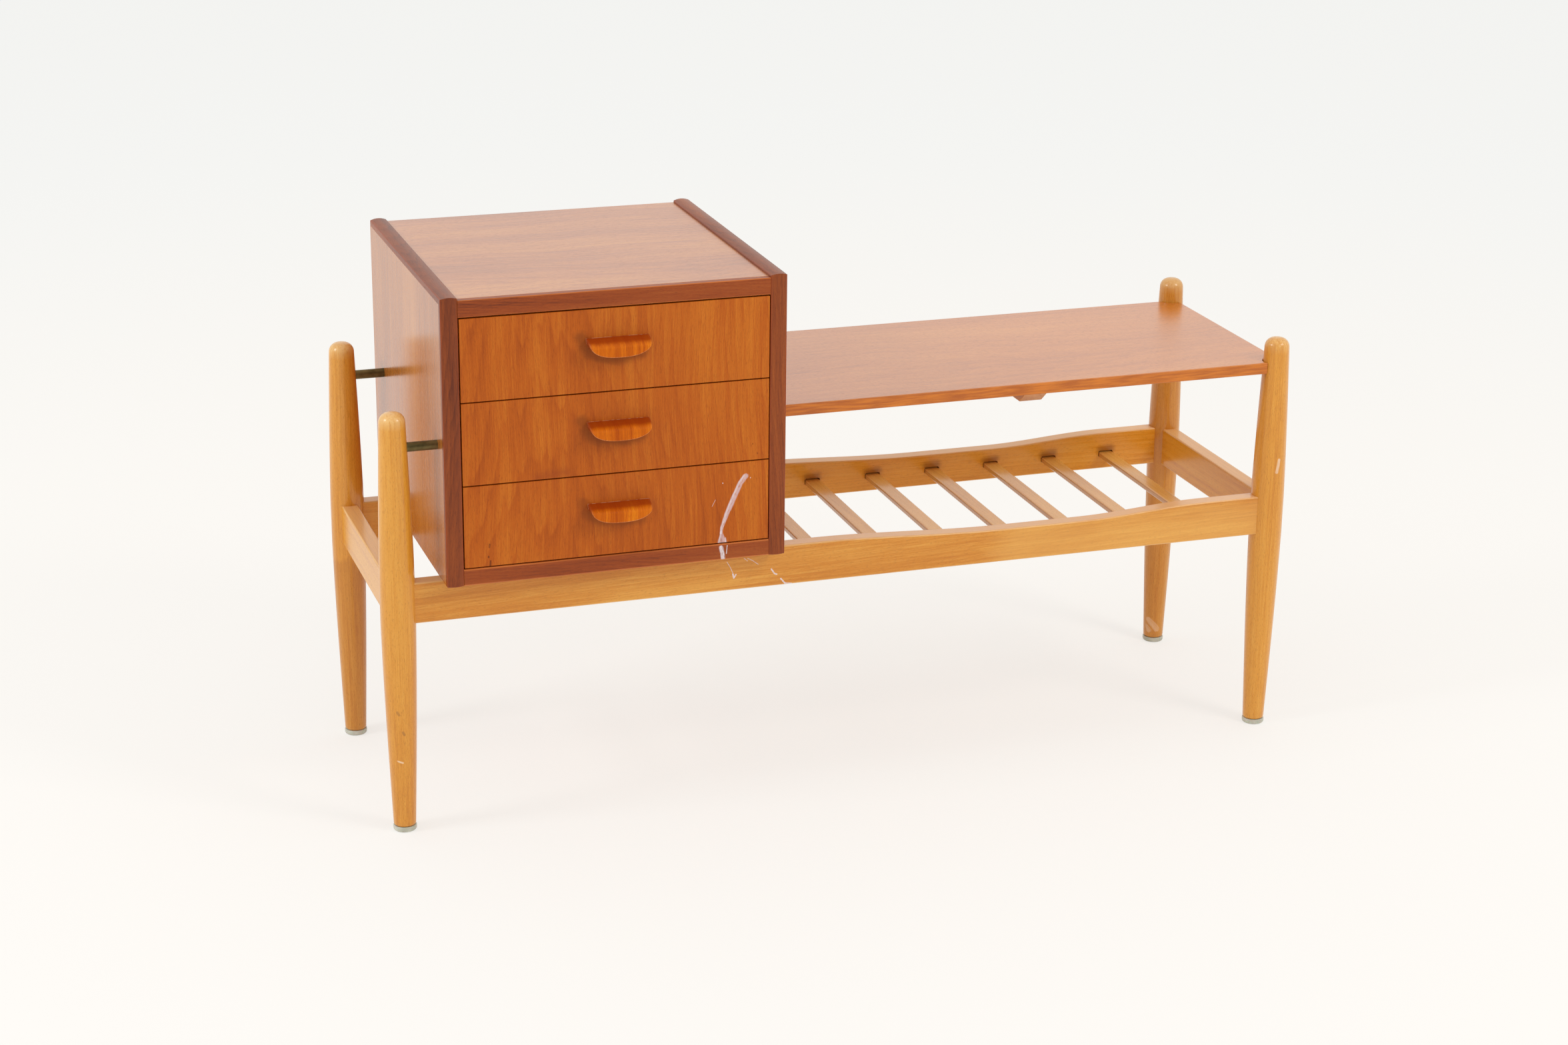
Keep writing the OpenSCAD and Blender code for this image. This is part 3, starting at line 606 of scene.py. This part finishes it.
# Metal and plastic finishes
plainLook = {
    "cloudScale": 60, "cloudRange": (0.3, 0.7), "roughCloud": 0.25, "roughLines": 0.15,
    "relief": 0.02 * mm, "glowDepth": 0.004, "rough": 0.35, "through": 0.0,
}


def plainMaterial(name, look):
    # Fine scratches and a slow change of tone
    material, wire = newMaterial(name)
    place = wire.node("TexCoord", take="Object")
    x, y, z = wire.node("SeparateXYZ", None, {0: place}, take=(0, 1, 2))
    a, b, c = look["scratches"]
    lines = noise(x * a, y * b, z * c, 3.0, 0.6)
    scale = look["cloudScale"]
    cloud = noise(x * scale, y * scale, z * scale, 3.0, 0.6)
    colour = mixed(between(cloud, *look["cloudRange"]), paint(*look["dark"]), paint(*look["light"]))
    rough = (look["rough"] + (cloud - 0.5) * look["roughCloud"]
             + (lines - 0.5) * look["roughLines"])
    bump = wire.node("Bump", None, {
        "Strength": 1.0, "Distance": look["relief"], "Height": lines})
    shader = wire.node("BsdfPrincipled", None, {
        "Base Color": colour, "Roughness": rough, "Normal": bump,
        "Metallic": look["metal"], "Subsurface Weight": look["through"],
        "Subsurface Scale": look["glowDepth"]})
    wire.node("OutputMaterial", None, {"Surface": shader}, take=None)
    return material


plainFinishes = {
    "brass": {**plainLook, "dark": (92, 80, 50), "light": (128, 112, 74), "metal": 1.0,
              "rough": 0.4, "scratches": (60, 1800, 1800)},
    "steel": {**plainLook, "dark": (150, 150, 146), "light": (196, 194, 188), "metal": 1.0,
              "scratches": (900, 900, 900)},
    "glidePlastic": {**plainLook, "dark": (180, 182, 166), "light": (208, 208, 196),
                     "metal": 0.0, "through": 0.3, "scratches": (500, 500, 500)},
}
finishes.update({name: plainMaterial(name, look) for name, look in plainFinishes.items()})
print("finishes made:", len(finishes))

# Mesh helpers
sharpAngle = math.radians(50)


def meshOf(name, shells):
    # Each shell is a stack of closed rings, rows x columns x 3, and the arris wear
    # and highlight of its points. Quads join ring to ring and a flat face closes each
    # end; a shell whose volume comes out negative is inside out, so its faces turn round.
    points, wears, faces, start = [], [], [], 0
    for rings, wear in shells:
        rows, columns = rings.shape[:2]
        index = start + np.arange(rows * columns).reshape(rows, columns)
        here, after = index[:-1], index[1:]
        quads = np.stack([here, np.roll(here, -1, 1), np.roll(after, -1, 1), after], -1)
        quads = quads.reshape(-1, 4)
        flat = rings.reshape(-1, 3)
        a, b, c, d = (flat[quads[:, i] - start] for i in range(4))
        volume = np.sum((a - flat.mean(0)) * (np.cross(b - a, c - a) + np.cross(c - a, d - a)))
        ends = [index[0][::-1], index[-1]]
        if volume < 0:
            quads, ends = quads[:, ::-1], [end[::-1] for end in ends]
        points.append(flat)
        wears.append(np.broadcast_to(wear, (rows, columns)).ravel())
        faces += quads.tolist() + [end.tolist() for end in ends]
        start += len(flat)
    mesh = bpy.data.meshes.new(name)
    mesh.from_pydata(np.concatenate(points).tolist(), [], faces)
    mesh.attributes.new("wear", "FLOAT", "POINT").data.foreach_set(
        "value", np.concatenate(wears).astype(np.float32))
    mesh.shade_smooth()
    mesh.set_sharp_from_angle(angle=sharpAngle)
    return mesh


nodeBodies = {name: body for body, empty in frame["bodies"].items()
              for name, node in frame["nodes"].items() if node.parent == empty}


def addPiece(name, shells, node, finish, cutters=None):
    # A finished piece that stands for the node and rides on its body
    piece = bpy.data.objects.new(name, meshOf(name, shells))
    bpy.context.scene.collection.objects.link(piece)
    if cutters:
        cutAway(piece, cutters)
    piece.modifiers.new("flatFaces", "WEIGHTED_NORMAL").keep_sharp = True
    piece.data.materials.clear()
    piece.data.materials.append(finishes[finish])
    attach(piece, nodeBodies[node])
    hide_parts(node)


def cutAway(piece, shells):
    # Takes the room inside the shells out of the piece
    cutter = bpy.data.objects.new("cutter", meshOf("cutter", shells))
    bpy.context.scene.collection.objects.link(cutter)
    change = piece.modifiers.new("cut", "BOOLEAN")
    change.operation, change.solver, change.object = "DIFFERENCE", "EXACT", cutter
    made = piece.evaluated_get(bpy.context.evaluated_depsgraph_get())
    piece.data = bpy.data.meshes.new_from_object(made)
    piece.data.set_sharp_from_angle(angle=sharpAngle)
    piece.modifiers.clear()
    bpy.data.objects.remove(cutter)


def box(node):
    low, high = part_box(node)
    return np.array(low), np.array(high)


def partTurn(radius, start, end, steps):
    # Cosine and sine of a turn in degrees, times the radius
    angle = np.radians(np.linspace(start, end, steps))
    return radius * np.cos(angle), radius * np.sin(angle)


def softRectangle(width, height, ease, middle=(0, 0), steps=5, stand=0.6):
    # Loop of a rectangle whose corners are quarter circles of the ease. A flat
    # point stands a share of the ease before and after each corner, and the arris
    # wear and highlight peaks between them.
    angle = np.radians(np.linspace(0, 90, steps + 1))
    turn = np.arange(4)[:, None] * np.pi / 2 + angle
    corner = ease * np.stack([np.cos(turn), np.sin(turn)], -1)
    along = np.roll(corner, 1, -1) * [-1, 1] * stand
    corner = np.concatenate([
        corner[:, :1] - along[:, :1], corner, corner[:, -1:] + along[:, -1:]], 1)
    centre = np.array([[1, 1], [-1, 1], [-1, -1], [1, -1]]) * [width / 2 - ease, height / 2 - ease]
    wear = np.tile(np.concatenate([[0], np.sqrt(np.abs(np.sin(2 * angle))), [0]]), 4)
    return (corner + centre[:, None]).reshape(-1, 2) + middle, wear


def spun(radius, height, centre, wear=0.0, columns=64):
    # Rings about an upright axis: x and y are the radius times cosine and sine
    angle = (np.arange(columns) + 0.5) * 2 * np.pi / columns
    x = centre[0] + np.outer(radius, np.cos(angle))
    y = centre[1] + np.outer(radius, np.sin(angle))
    z = np.asarray(height)[:, None] + 0 * x
    return np.stack([x, y, z], -1), np.reshape(wear, (-1, 1))


def inset(outline, depth):
    # Moves each point of a closed outline inwards by the depth, along the mean
    # of its two edge normals, lengthened at corners so that edges stay parallel
    forward = np.roll(outline, -1, 0) - outline
    forward /= np.linalg.norm(forward, axis=1, keepdims=True)
    normal = np.stack([-forward[:, 1], forward[:, 0]], -1)
    both = normal + np.roll(normal, 1, 0)
    x, y = outline[:, 0], outline[:, 1]
    area = np.sum(x * np.roll(y, -1) - np.roll(x, -1) * y)
    return outline + np.sign(area) * depth * 2 * both / np.sum(both ** 2, 1, keepdims=True)


def easedEnd(outline, ease, steps=4):
    # Rows that open the outline to its full size along a quarter circle, each
    # row's distance from the end, and its arris wear and highlight
    angle = np.radians(np.linspace(90, 0, steps))
    rows = np.stack([inset(outline, d) for d in ease * (1 - np.cos(angle))])
    return rows, ease * (1 - np.sin(angle)), np.sqrt(np.abs(np.sin(2 * angle)))[:, None]


def easedBar(outline, wear, low, high, ease, order=(0, 1, 2)):
    # The outline carried from low to high with both ends eased. order says which
    # axes the outline and the run take.
    rows, rise, wornAndLit = easedEnd(outline, ease)
    rows = np.concatenate([rows, rows[::-1]])
    level = np.concatenate([low + rise, (high - rise)[::-1]])
    run = np.broadcast_to(level[:, None, None], (*rows.shape[:2], 1))
    wornAndLit = np.concatenate([wornAndLit, wornAndLit[::-1]])
    return np.concatenate([rows, run], -1)[:, :, np.argsort(order)], np.maximum(wornAndLit, wear)


print("helpers ready")

# Legs
legLook = {
    "atRails": 37 * mm, "underDome": 27.6 * mm, "atFoot": 24 * mm,
    "dome": 11 * mm, "domePower": 0.75, "domeEnd": 89, "footEase": 2.5 * mm,
    "wornBelow": 1.6, "wearPower": 1.5,
    "footRows": 5, "lowRows": 40, "highRows": 30, "domeRows": 18, "columns": 72,
}
corners = ["front_left", "back_left", "front_right", "back_right"]
railLow, railHigh = (box("front_rail")[i][2] for i in (0, 1))
woodFoot, legTop = (box("leg_front_left")[i][2] for i in (0, 1))


def axisOf(corner):
    low, high = box("glide_" + corner)
    return (low[:2] + high[:2]) / 2


def swell(t):
    # Half a straight taper and half a quarter wave
    return (np.sin(np.pi / 2 * t) + t) / 2


def legRadius(z, look=legLook):
    # Swells from the foot up to the rails, and from the dome down to them
    foot, dome = woodFoot + look["footEase"], legTop - look["dome"]
    low = swell(np.clip((z - foot) / (railLow - foot), 0, 1))
    high = swell(np.clip((dome - z) / (dome - railHigh), 0, 1))
    below = look["atFoot"] + (look["atRails"] - look["atFoot"]) * low
    above = look["underDome"] + (look["atRails"] - look["underDome"]) * high
    return np.where(z < railHigh, below, above) / 2


def makeLeg(corner, look):
    # The dome's half thickness falls with a power of the cosine; its wear grows
    # from a little below it
    ease, dome = look["footEase"], look["dome"]
    out, up = partTurn(ease, -90, 0, look["footRows"])
    stem = np.concatenate([np.linspace(woodFoot + ease, railLow, look["lowRows"])[1:],
                           np.linspace(railHigh, legTop - dome, look["highRows"])])
    a = np.radians(np.linspace(0, look["domeEnd"], look["domeRows"])[1:])
    radius = np.concatenate([look["atFoot"] / 2 - ease + out, legRadius(stem),
                             look["underDome"] / 2 * np.cos(a) ** look["domePower"]])
    height = np.concatenate([woodFoot + ease + up, stem, legTop - dome + dome * np.sin(a)])
    wear = np.clip((height - legTop) / dome + look["wornBelow"], 0, 1) ** look["wearPower"]
    addPiece("leg_" + corner + "_turned",
             [spun(radius, height, axisOf(corner), wear, look["columns"])],
             "leg_" + corner, "oakUpright")


for corner in corners:
    makeLeg(corner, legLook)
print("legs turned")

# Glides
glideLook = {"lowEase": 2.4 * mm, "highEase": 1.2 * mm, "lowRows": 7, "highRows": 5}


def makeGlide(corner, look):
    # A disc with a quarter circle round its lower and its upper edge
    low, high = box("glide_" + corner)
    radius, thick = (high[0] - low[0]) / 2, woodFoot - low[2]
    e, h = look["lowEase"], look["highEase"]
    outLow, upLow = partTurn(e, -90, 0, look["lowRows"])
    outHigh, upHigh = partTurn(h, 0, 90, look["highRows"])
    r = np.concatenate([radius - e + outLow, radius - h + outHigh])
    z = np.concatenate([e + upLow, thick - h + upHigh])
    addPiece("glide_" + corner + "_disc", [spun(r, z, axisOf(corner))],
             "glide_" + corner, "glidePlastic")


for corner in corners:
    makeGlide(corner, glideLook)
print("glides made")

# Slats
slatLook = {
    "ease": 1.6 * mm, "endEase": 0.5 * mm, "planedRight": 2.6 * mm, "planedBelow": 1.8 * mm,
}


def planedBox(node, look):
    # The slats are planed slimmer than their nodes, from the right and from below
    low, high = box(node)
    return low + [0, 0, look["planedBelow"]], high - [look["planedRight"], 0, 0]


def makeSlat(node, look):
    # A soft rectangle carried from front to back
    low, high = planedBox(node, look)
    size, middle = high - low, (low + high) / 2
    loop, wear = softRectangle(size[0], size[2], look["ease"], middle[[0, 2]])
    addPiece(node + "_eased", [easedBar(loop, wear, low[1], high[1], look["endEase"], (0, 2, 1))],
             node, "slatOak")


for node in slatNames:
    makeSlat(node, slatLook)
print("slats made")

# Long rails
railLook = {
    "ease": 1.6 * mm, "dip": 7.1 * mm, "dipStart": 44 * mm, "slowRun": 220 * mm,
    "quickRun": 150 * mm, "dipEnd": 82 * mm, "shoulderShare": 0.75,
    "mortiseSide": 0.7 * mm, "mortiseRoom": 1.7 * mm, "rows": 160,
}


def dipDepth(x, look):
    # Down on a slow half wave from the cabinet, up on a quick one to the leg
    start = box("cabinet_right_panel")[1][0] + look["dipStart"]
    end = axisOf("front_right")[0] - look["dipEnd"]
    down = np.clip((x - start) / look["slowRun"], 0, 1)
    up = np.clip((end - x) / look["quickRun"], 0, 1)
    return look["dip"] * (1 - np.cos(np.pi * down)) / 2 * (1 - np.cos(np.pi * up)) / 2


def makeLongRail(node, look, inward, finish):
    # A soft rectangle carried from leg to leg, its upper half lowered by the dip,
    # with a mortise for each slat from the inner face to the rail's middle
    low, high = box(node)
    size, middle = high - low, (low + high) / 2
    reach = legLook["atRails"] / 2 * look["shoulderShare"]
    x = np.linspace(axisOf("front_left")[0] + reach, axisOf("front_right")[0] - reach, look["rows"])
    loop, wear = softRectangle(size[1], size[2], look["ease"], middle[1:])
    drop = (loop[:, 1] > middle[2]) * dipDepth(x, look)[:, None]
    rings = np.stack([x[:, None] + 0 * drop, loop[:, 0] + 0 * drop, loop[:, 1] - drop], -1)
    holes = []
    for slat in slatNames:
        a, b = planedBox(slat, slatLook)
        side, room = look["mortiseSide"], look["mortiseRoom"]
        hole = softRectangle(
            b[0] - a[0] + 2 * side, b[2] - a[2] + room, slatLook["ease"] + side,
            ((a[0] + b[0]) / 2, (a[2] + b[2] + room) / 2))[0]
        ends = np.array([middle[1], middle[1] + inward * size[1]])
        run = np.broadcast_to(ends[:, None], (2, len(hole)))
        holes.append((np.stack([hole[:, 0] + 0 * run, run, hole[:, 1] + 0 * run], -1), 0.0))
    addPiece(node + "_eased", [(rings, wear)], node, finish, cutters=holes)


makeLongRail("front_rail", railLook, 1, "oakFront")
makeLongRail("back_rail", railLook, -1, "oakLong")
print("long rails made")


# End rails
def makeEndRail(node, look):
    # A soft rectangle carried from leg to leg
    low, high = box(node)
    size, middle = high - low, (low + high) / 2
    reach = legLook["atRails"] / 2 * look["shoulderShare"]
    loop, wear = softRectangle(size[0], size[2], look["ease"], middle[[0, 2]])
    ends = (axisOf("front_left")[1] + reach, axisOf("back_left")[1] - reach)
    addPiece(node + "_eased", [easedBar(loop, wear, *ends, look["ease"] / 2, (0, 2, 1))],
             node, "oakCross")


makeEndRail("left_end_rail", railLook)
makeEndRail("right_end_rail", railLook)
print("end rails made")

# Shelf
shelfLook = {"ease": 1.2 * mm, "legRoom": 0.3 * mm, "notchSteps": 22}


def notch(centre, radius, start, end, steps):
    # Part of a circle, from one angle to another
    return np.stack(partTurn(radius, start, end, steps), -1) + centre


def makeShelf(look):
    # A board whose right corners are cut away by circles just wider than the legs
    low, high = box("shelf_board")
    front, back = axisOf("front_right"), axisOf("back_right")
    r = float(legRadius(np.array(low[2]))) + look["legRoom"]
    past, ahead, short = high[0] - front[0], front[1] - low[1], back[1] - high[1]
    side = math.degrees(math.acos(past / r))
    outline = np.concatenate([
        [low[:2]],
        notch(front, r, 180 + math.degrees(math.asin(ahead / r)), side, look["notchSteps"]),
        notch(back, r, -side, -180 + math.degrees(math.asin(short / r)), look["notchSteps"]),
        [[low[0], high[1]]]])
    addPiece("shelf_board_eased", [easedBar(outline, 0.0, low[2], high[2], look["ease"])],
             "shelf_board", "shelfTeak")


makeShelf(shelfLook)
print("shelf made")

# Cleat
cleatLook = {"bevel": 15 * mm, "ease": 1 * mm}


def makeCleat(look):
    # A flat bar that narrows to its lower face by the bevel
    low, high = box("shelf_cleat")
    b = look["bevel"]
    outline = np.array([[low[1], high[2]], [low[1] + b, low[2]],
                        [high[1] - b, low[2]], [high[1], high[2]]])
    bar = easedBar(outline, 0.0, low[0], high[0], look["ease"], (1, 2, 0))
    addPiece("shelf_cleat_eased", [bar], "shelf_cleat", "cleatTeak")


makeCleat(cleatLook)
print("cleat made")

# Rods
rodLook = {"rows": 8}


def makeRod(node, look):
    # Turned about an upright axis, then laid down
    low, high = box(node)
    radius = [(high[1] - low[1]) / 2] * look["rows"]
    rings, wear = spun(radius, np.linspace(low[0], high[0], look["rows"]), (0, 0))
    rings = rings[:, :, [2, 0, 1]] + [0, (low[1] + high[1]) / 2, (low[2] + high[2]) / 2]
    addPiece(node + "_turned", [(rings, wear)], node, "brass")


makeRod("rod_front", rodLook)
makeRod("rod_back", rodLook)
print("rods made")

# Edging of the side panels
edgingLook = {
    "crown": 2 * mm, "ease": 1.4 * mm, "easeDepth": 0.6, "endEase": 1 * mm,
    "crownSteps": 17, "easeSteps": 6,
}


def crownedLoop(width, depth, look):
    # Square at the back; the front is a flat arc that rises to the crown, with
    # eased corners. x runs across, the second value runs back from the crown.
    crown, e = look["crown"], look["ease"]
    x = np.linspace(-width / 2 + e, width / 2 - e, look["crownSteps"])
    top = crown * (2 * x / width) ** 2
    angle = np.radians(np.linspace(0, 90, look["easeSteps"]))
    fall = crown + e * look["easeDepth"] - top[-1]
    right = np.stack([width / 2 - e + e * np.sin(angle),
                      top[-1] + fall * (1 - np.cos(angle))], -1)
    wornAndLit = np.sqrt(np.abs(np.sin(2 * angle)))
    back = [[width / 2, 2 * crown + e], [width / 2, depth],
            [-width / 2, depth], [-width / 2, 2 * crown + e]]
    loop = np.concatenate([right[::-1][:-1] * [-1, 1], np.stack([x, top], -1), right[1:], back])
    wear = np.concatenate([wornAndLit[::-1][:-1], 0 * x, wornAndLit[1:], [0, 0, 0, 0]])
    return loop, wear


def makePanelEdging(side, look):
    # The upright strip is eased at its foot and mitred at its top, where its
    # points stand as far below the top as they lie behind the front
    low, high = box(side + "_front_edging")
    topHigh = box(side + "_top_edging")[1]
    loop, wear = crownedLoop(high[0] - low[0], high[1] - low[1], look)
    loop += [(low[0] + high[0]) / 2, 0]
    rows, rise, wornAndLit = easedEnd(loop, look["endEase"])
    across, back = (np.concatenate([rows[..., i], loop[None, :, i]]) for i in (0, 1))
    wornAndLit = np.maximum(np.concatenate([wornAndLit, [[0]]]), wear)
    level = np.broadcast_to(low[2] + rise[:, None], rows.shape[:2])
    level = np.concatenate([level, topHigh[2] - loop[None, :, 1]])
    upright = np.stack([across, low[1] + back, level], -1)
    addPiece(side + "_front_edging_crowned", [(upright, wornAndLit)], side + "_front_edging",
             "edgingUpright")
    run = np.broadcast_to(topHigh[1] - rise[:, None], rows.shape[:2])
    run = np.concatenate([run, low[1] + loop[None, :, 1]])
    flat = np.stack([across, run, topHigh[2] - back], -1)
    addPiece(side + "_top_edging_crowned", [(flat, wornAndLit)], side + "_top_edging",
             "edgingCross")


for side in ("left", "right"):
    makePanelEdging(side, edgingLook)

# Edging of the cabinet's top and floor
boardEdgingLook = {"topEase": 1 * mm, "floorEase": 1.6 * mm, "endEase": 0.2 * mm}


def makeBoardEdging(node, ease, look):
    # A soft rectangle carried from side to side
    low, high = box(node)
    size, middle = high - low, (low + high) / 2
    loop, wear = softRectangle(size[1], size[2], ease, middle[1:])
    addPiece(node + "_eased", [easedBar(loop, wear, low[0], high[0], look["endEase"], (1, 2, 0))],
             node, "edgingLong")


makeBoardEdging("top_edging", boardEdgingLook["topEase"], boardEdgingLook)
makeBoardEdging("floor_edging", boardEdgingLook["floorEase"], boardEdgingLook)
print("edgings made")

# Pulls
pullLook = {
    "moonPower": 0.78, "rollShare": 0.43, "rollPower": 1.25, "lipShare": 0.3,
    "hollowShare": 0.62, "rimEase": 1.1 * mm, "rimShare": 0.3, "columns": 71,
    "crowding": 0.8, "tipAngle": 89.5, "tipWearAndHighlight": 40, "rimWearAndHighlight": [0.1, 0.7, 1, 1, 0.8, 0.4],
    "faceRows": 44, "hollowRows": 30, "profileSteps": 160,
}


def stretchOf(points, depth, shares):
    # Places on a profile of out and down, at shares of the length from its
    # start to each depth
    length = np.concatenate([[0], np.cumsum(np.linalg.norm(np.diff(points, axis=0), axis=1))])
    s = np.interp(depth, points[:, 1], length)[:, None] * shares
    return np.interp(s, length, points[:, 0]), np.interp(s, length, points[:, 1])


def makePull(number, look):
    # Front view: a half moon whose depth is a power of the cosine, with columns
    # that crowd towards its tips. Side view: the top rolls over into an upright
    # face, and a quarter ellipse hollows the back for the fingers.
    node = "drawer_pull_%d" % number
    low, high = box(node)
    width, out, tall = high - low
    a = np.radians(np.linspace(-look["tipAngle"], look["tipAngle"], look["columns"]))
    x = width / 2 * np.sign(a) * np.abs(np.sin(a)) ** look["crowding"]
    depth = tall * np.cos(a) ** look["moonPower"]
    rim = np.minimum(look["rimEase"], look["rimShare"] * depth)

    t = np.radians(np.linspace(0, 90, look["profileSteps"]))
    roll = look["rollShare"] * tall
    front = np.stack([out * np.sin(t) ** look["rollPower"],
                      roll * (1 - np.cos(t) ** look["rollPower"])], -1)
    front = np.concatenate([front, [[out, tall]]])
    faceOut, faceDown = stretchOf(front, depth - rim, np.linspace(0, 1, look["faceRows"]))

    angle = np.radians(np.linspace(0, 90, len(look["rimWearAndHighlight"]) + 1))[1:]
    rimOut = faceOut[:, -1:] - rim[:, None] * (1 - np.cos(angle))
    rimDown = depth[:, None] - rim[:, None] * (1 - np.sin(angle))

    hollow = np.stack([(1 - look["lipShare"]) * out * np.sin(t),
                       tall * (1 - look["hollowShare"] * np.cos(t))], -1)
    hollow = np.concatenate([[[0, 0]], hollow])
    backOut, backDown = stretchOf(hollow, depth, np.linspace(1, 0, look["hollowRows"] + 1)[:-1])
    backOut = np.minimum(backOut, rimOut[:, -1:])

    outward = np.concatenate([faceOut, rimOut, backOut], 1)
    down = np.concatenate([faceDown, rimDown, backDown], 1)
    # The rim and tips are paler: wear, and a painted highlight along the rim's arris
    wear = np.concatenate([np.zeros(look["faceRows"]), look["rimWearAndHighlight"],
                           np.zeros(look["hollowRows"])])
    wear = np.maximum(wear[None], np.abs(np.sin(a))[:, None] ** look["tipWearAndHighlight"])
    rings = np.stack([(low[0] + high[0]) / 2 + x[:, None] + 0 * down,
                      high[1] - outward, high[2] - down], -1)
    addPiece(node + "_carved", [(rings, wear)], node, "pullTeak")


for number in (1, 2, 3):
    makePull(number, pullLook)
print("pulls carved")

# Finishes of the nodes that stay, and the softened arrises of the drawer fronts
frontArris = {"join": 0.001 * mm, "width": 0.25 * mm, "segments": 2, "angle": 60}
nodeFinishes = {
    "shelf_dowels": "drawerBackWood", "wood_screws": "steel",
    "cabinet_left_panel": "teakSide", "cabinet_right_panel": "teakSide",
    "cabinet_top": "teakTop", "cabinet_floor": "teakTop",
    "cabinet_back": "plywoodUpright",
}
for i, height in enumerate(("Bottom", "Middle", "Top"), 1):
    nodeFinishes.update({
        "runner_left_%d" % i: "drawerSideWood", "runner_right_%d" % i: "drawerSideWood",
        "drawer_front_%d" % i: "teakFront" + height, "drawer_back_%d" % i: "drawerBackWood",
        "drawer_left_side_%d" % i: "drawerSideWood",
        "drawer_right_side_%d" % i: "drawerSideWood",
        "drawer_bottom_%d" % i: "plywood",
    })
for node, finish in nodeFinishes.items():
    kept = frame["nodes"][node]
    kept.data.materials.clear()
    kept.data.materials.append(finishes[finish])
    if node.startswith("drawer_front"):
        kept.modifiers.new("joinPoints", "WELD").merge_threshold = frontArris["join"]
        arris = kept.modifiers.new("softArris", "BEVEL")
        arris.width, arris.segments = frontArris["width"], frontArris["segments"]
        arris.angle_limit = math.radians(frontArris["angle"])
        arris.harden_normals = True
print("nodes dressed:", len(nodeFinishes))
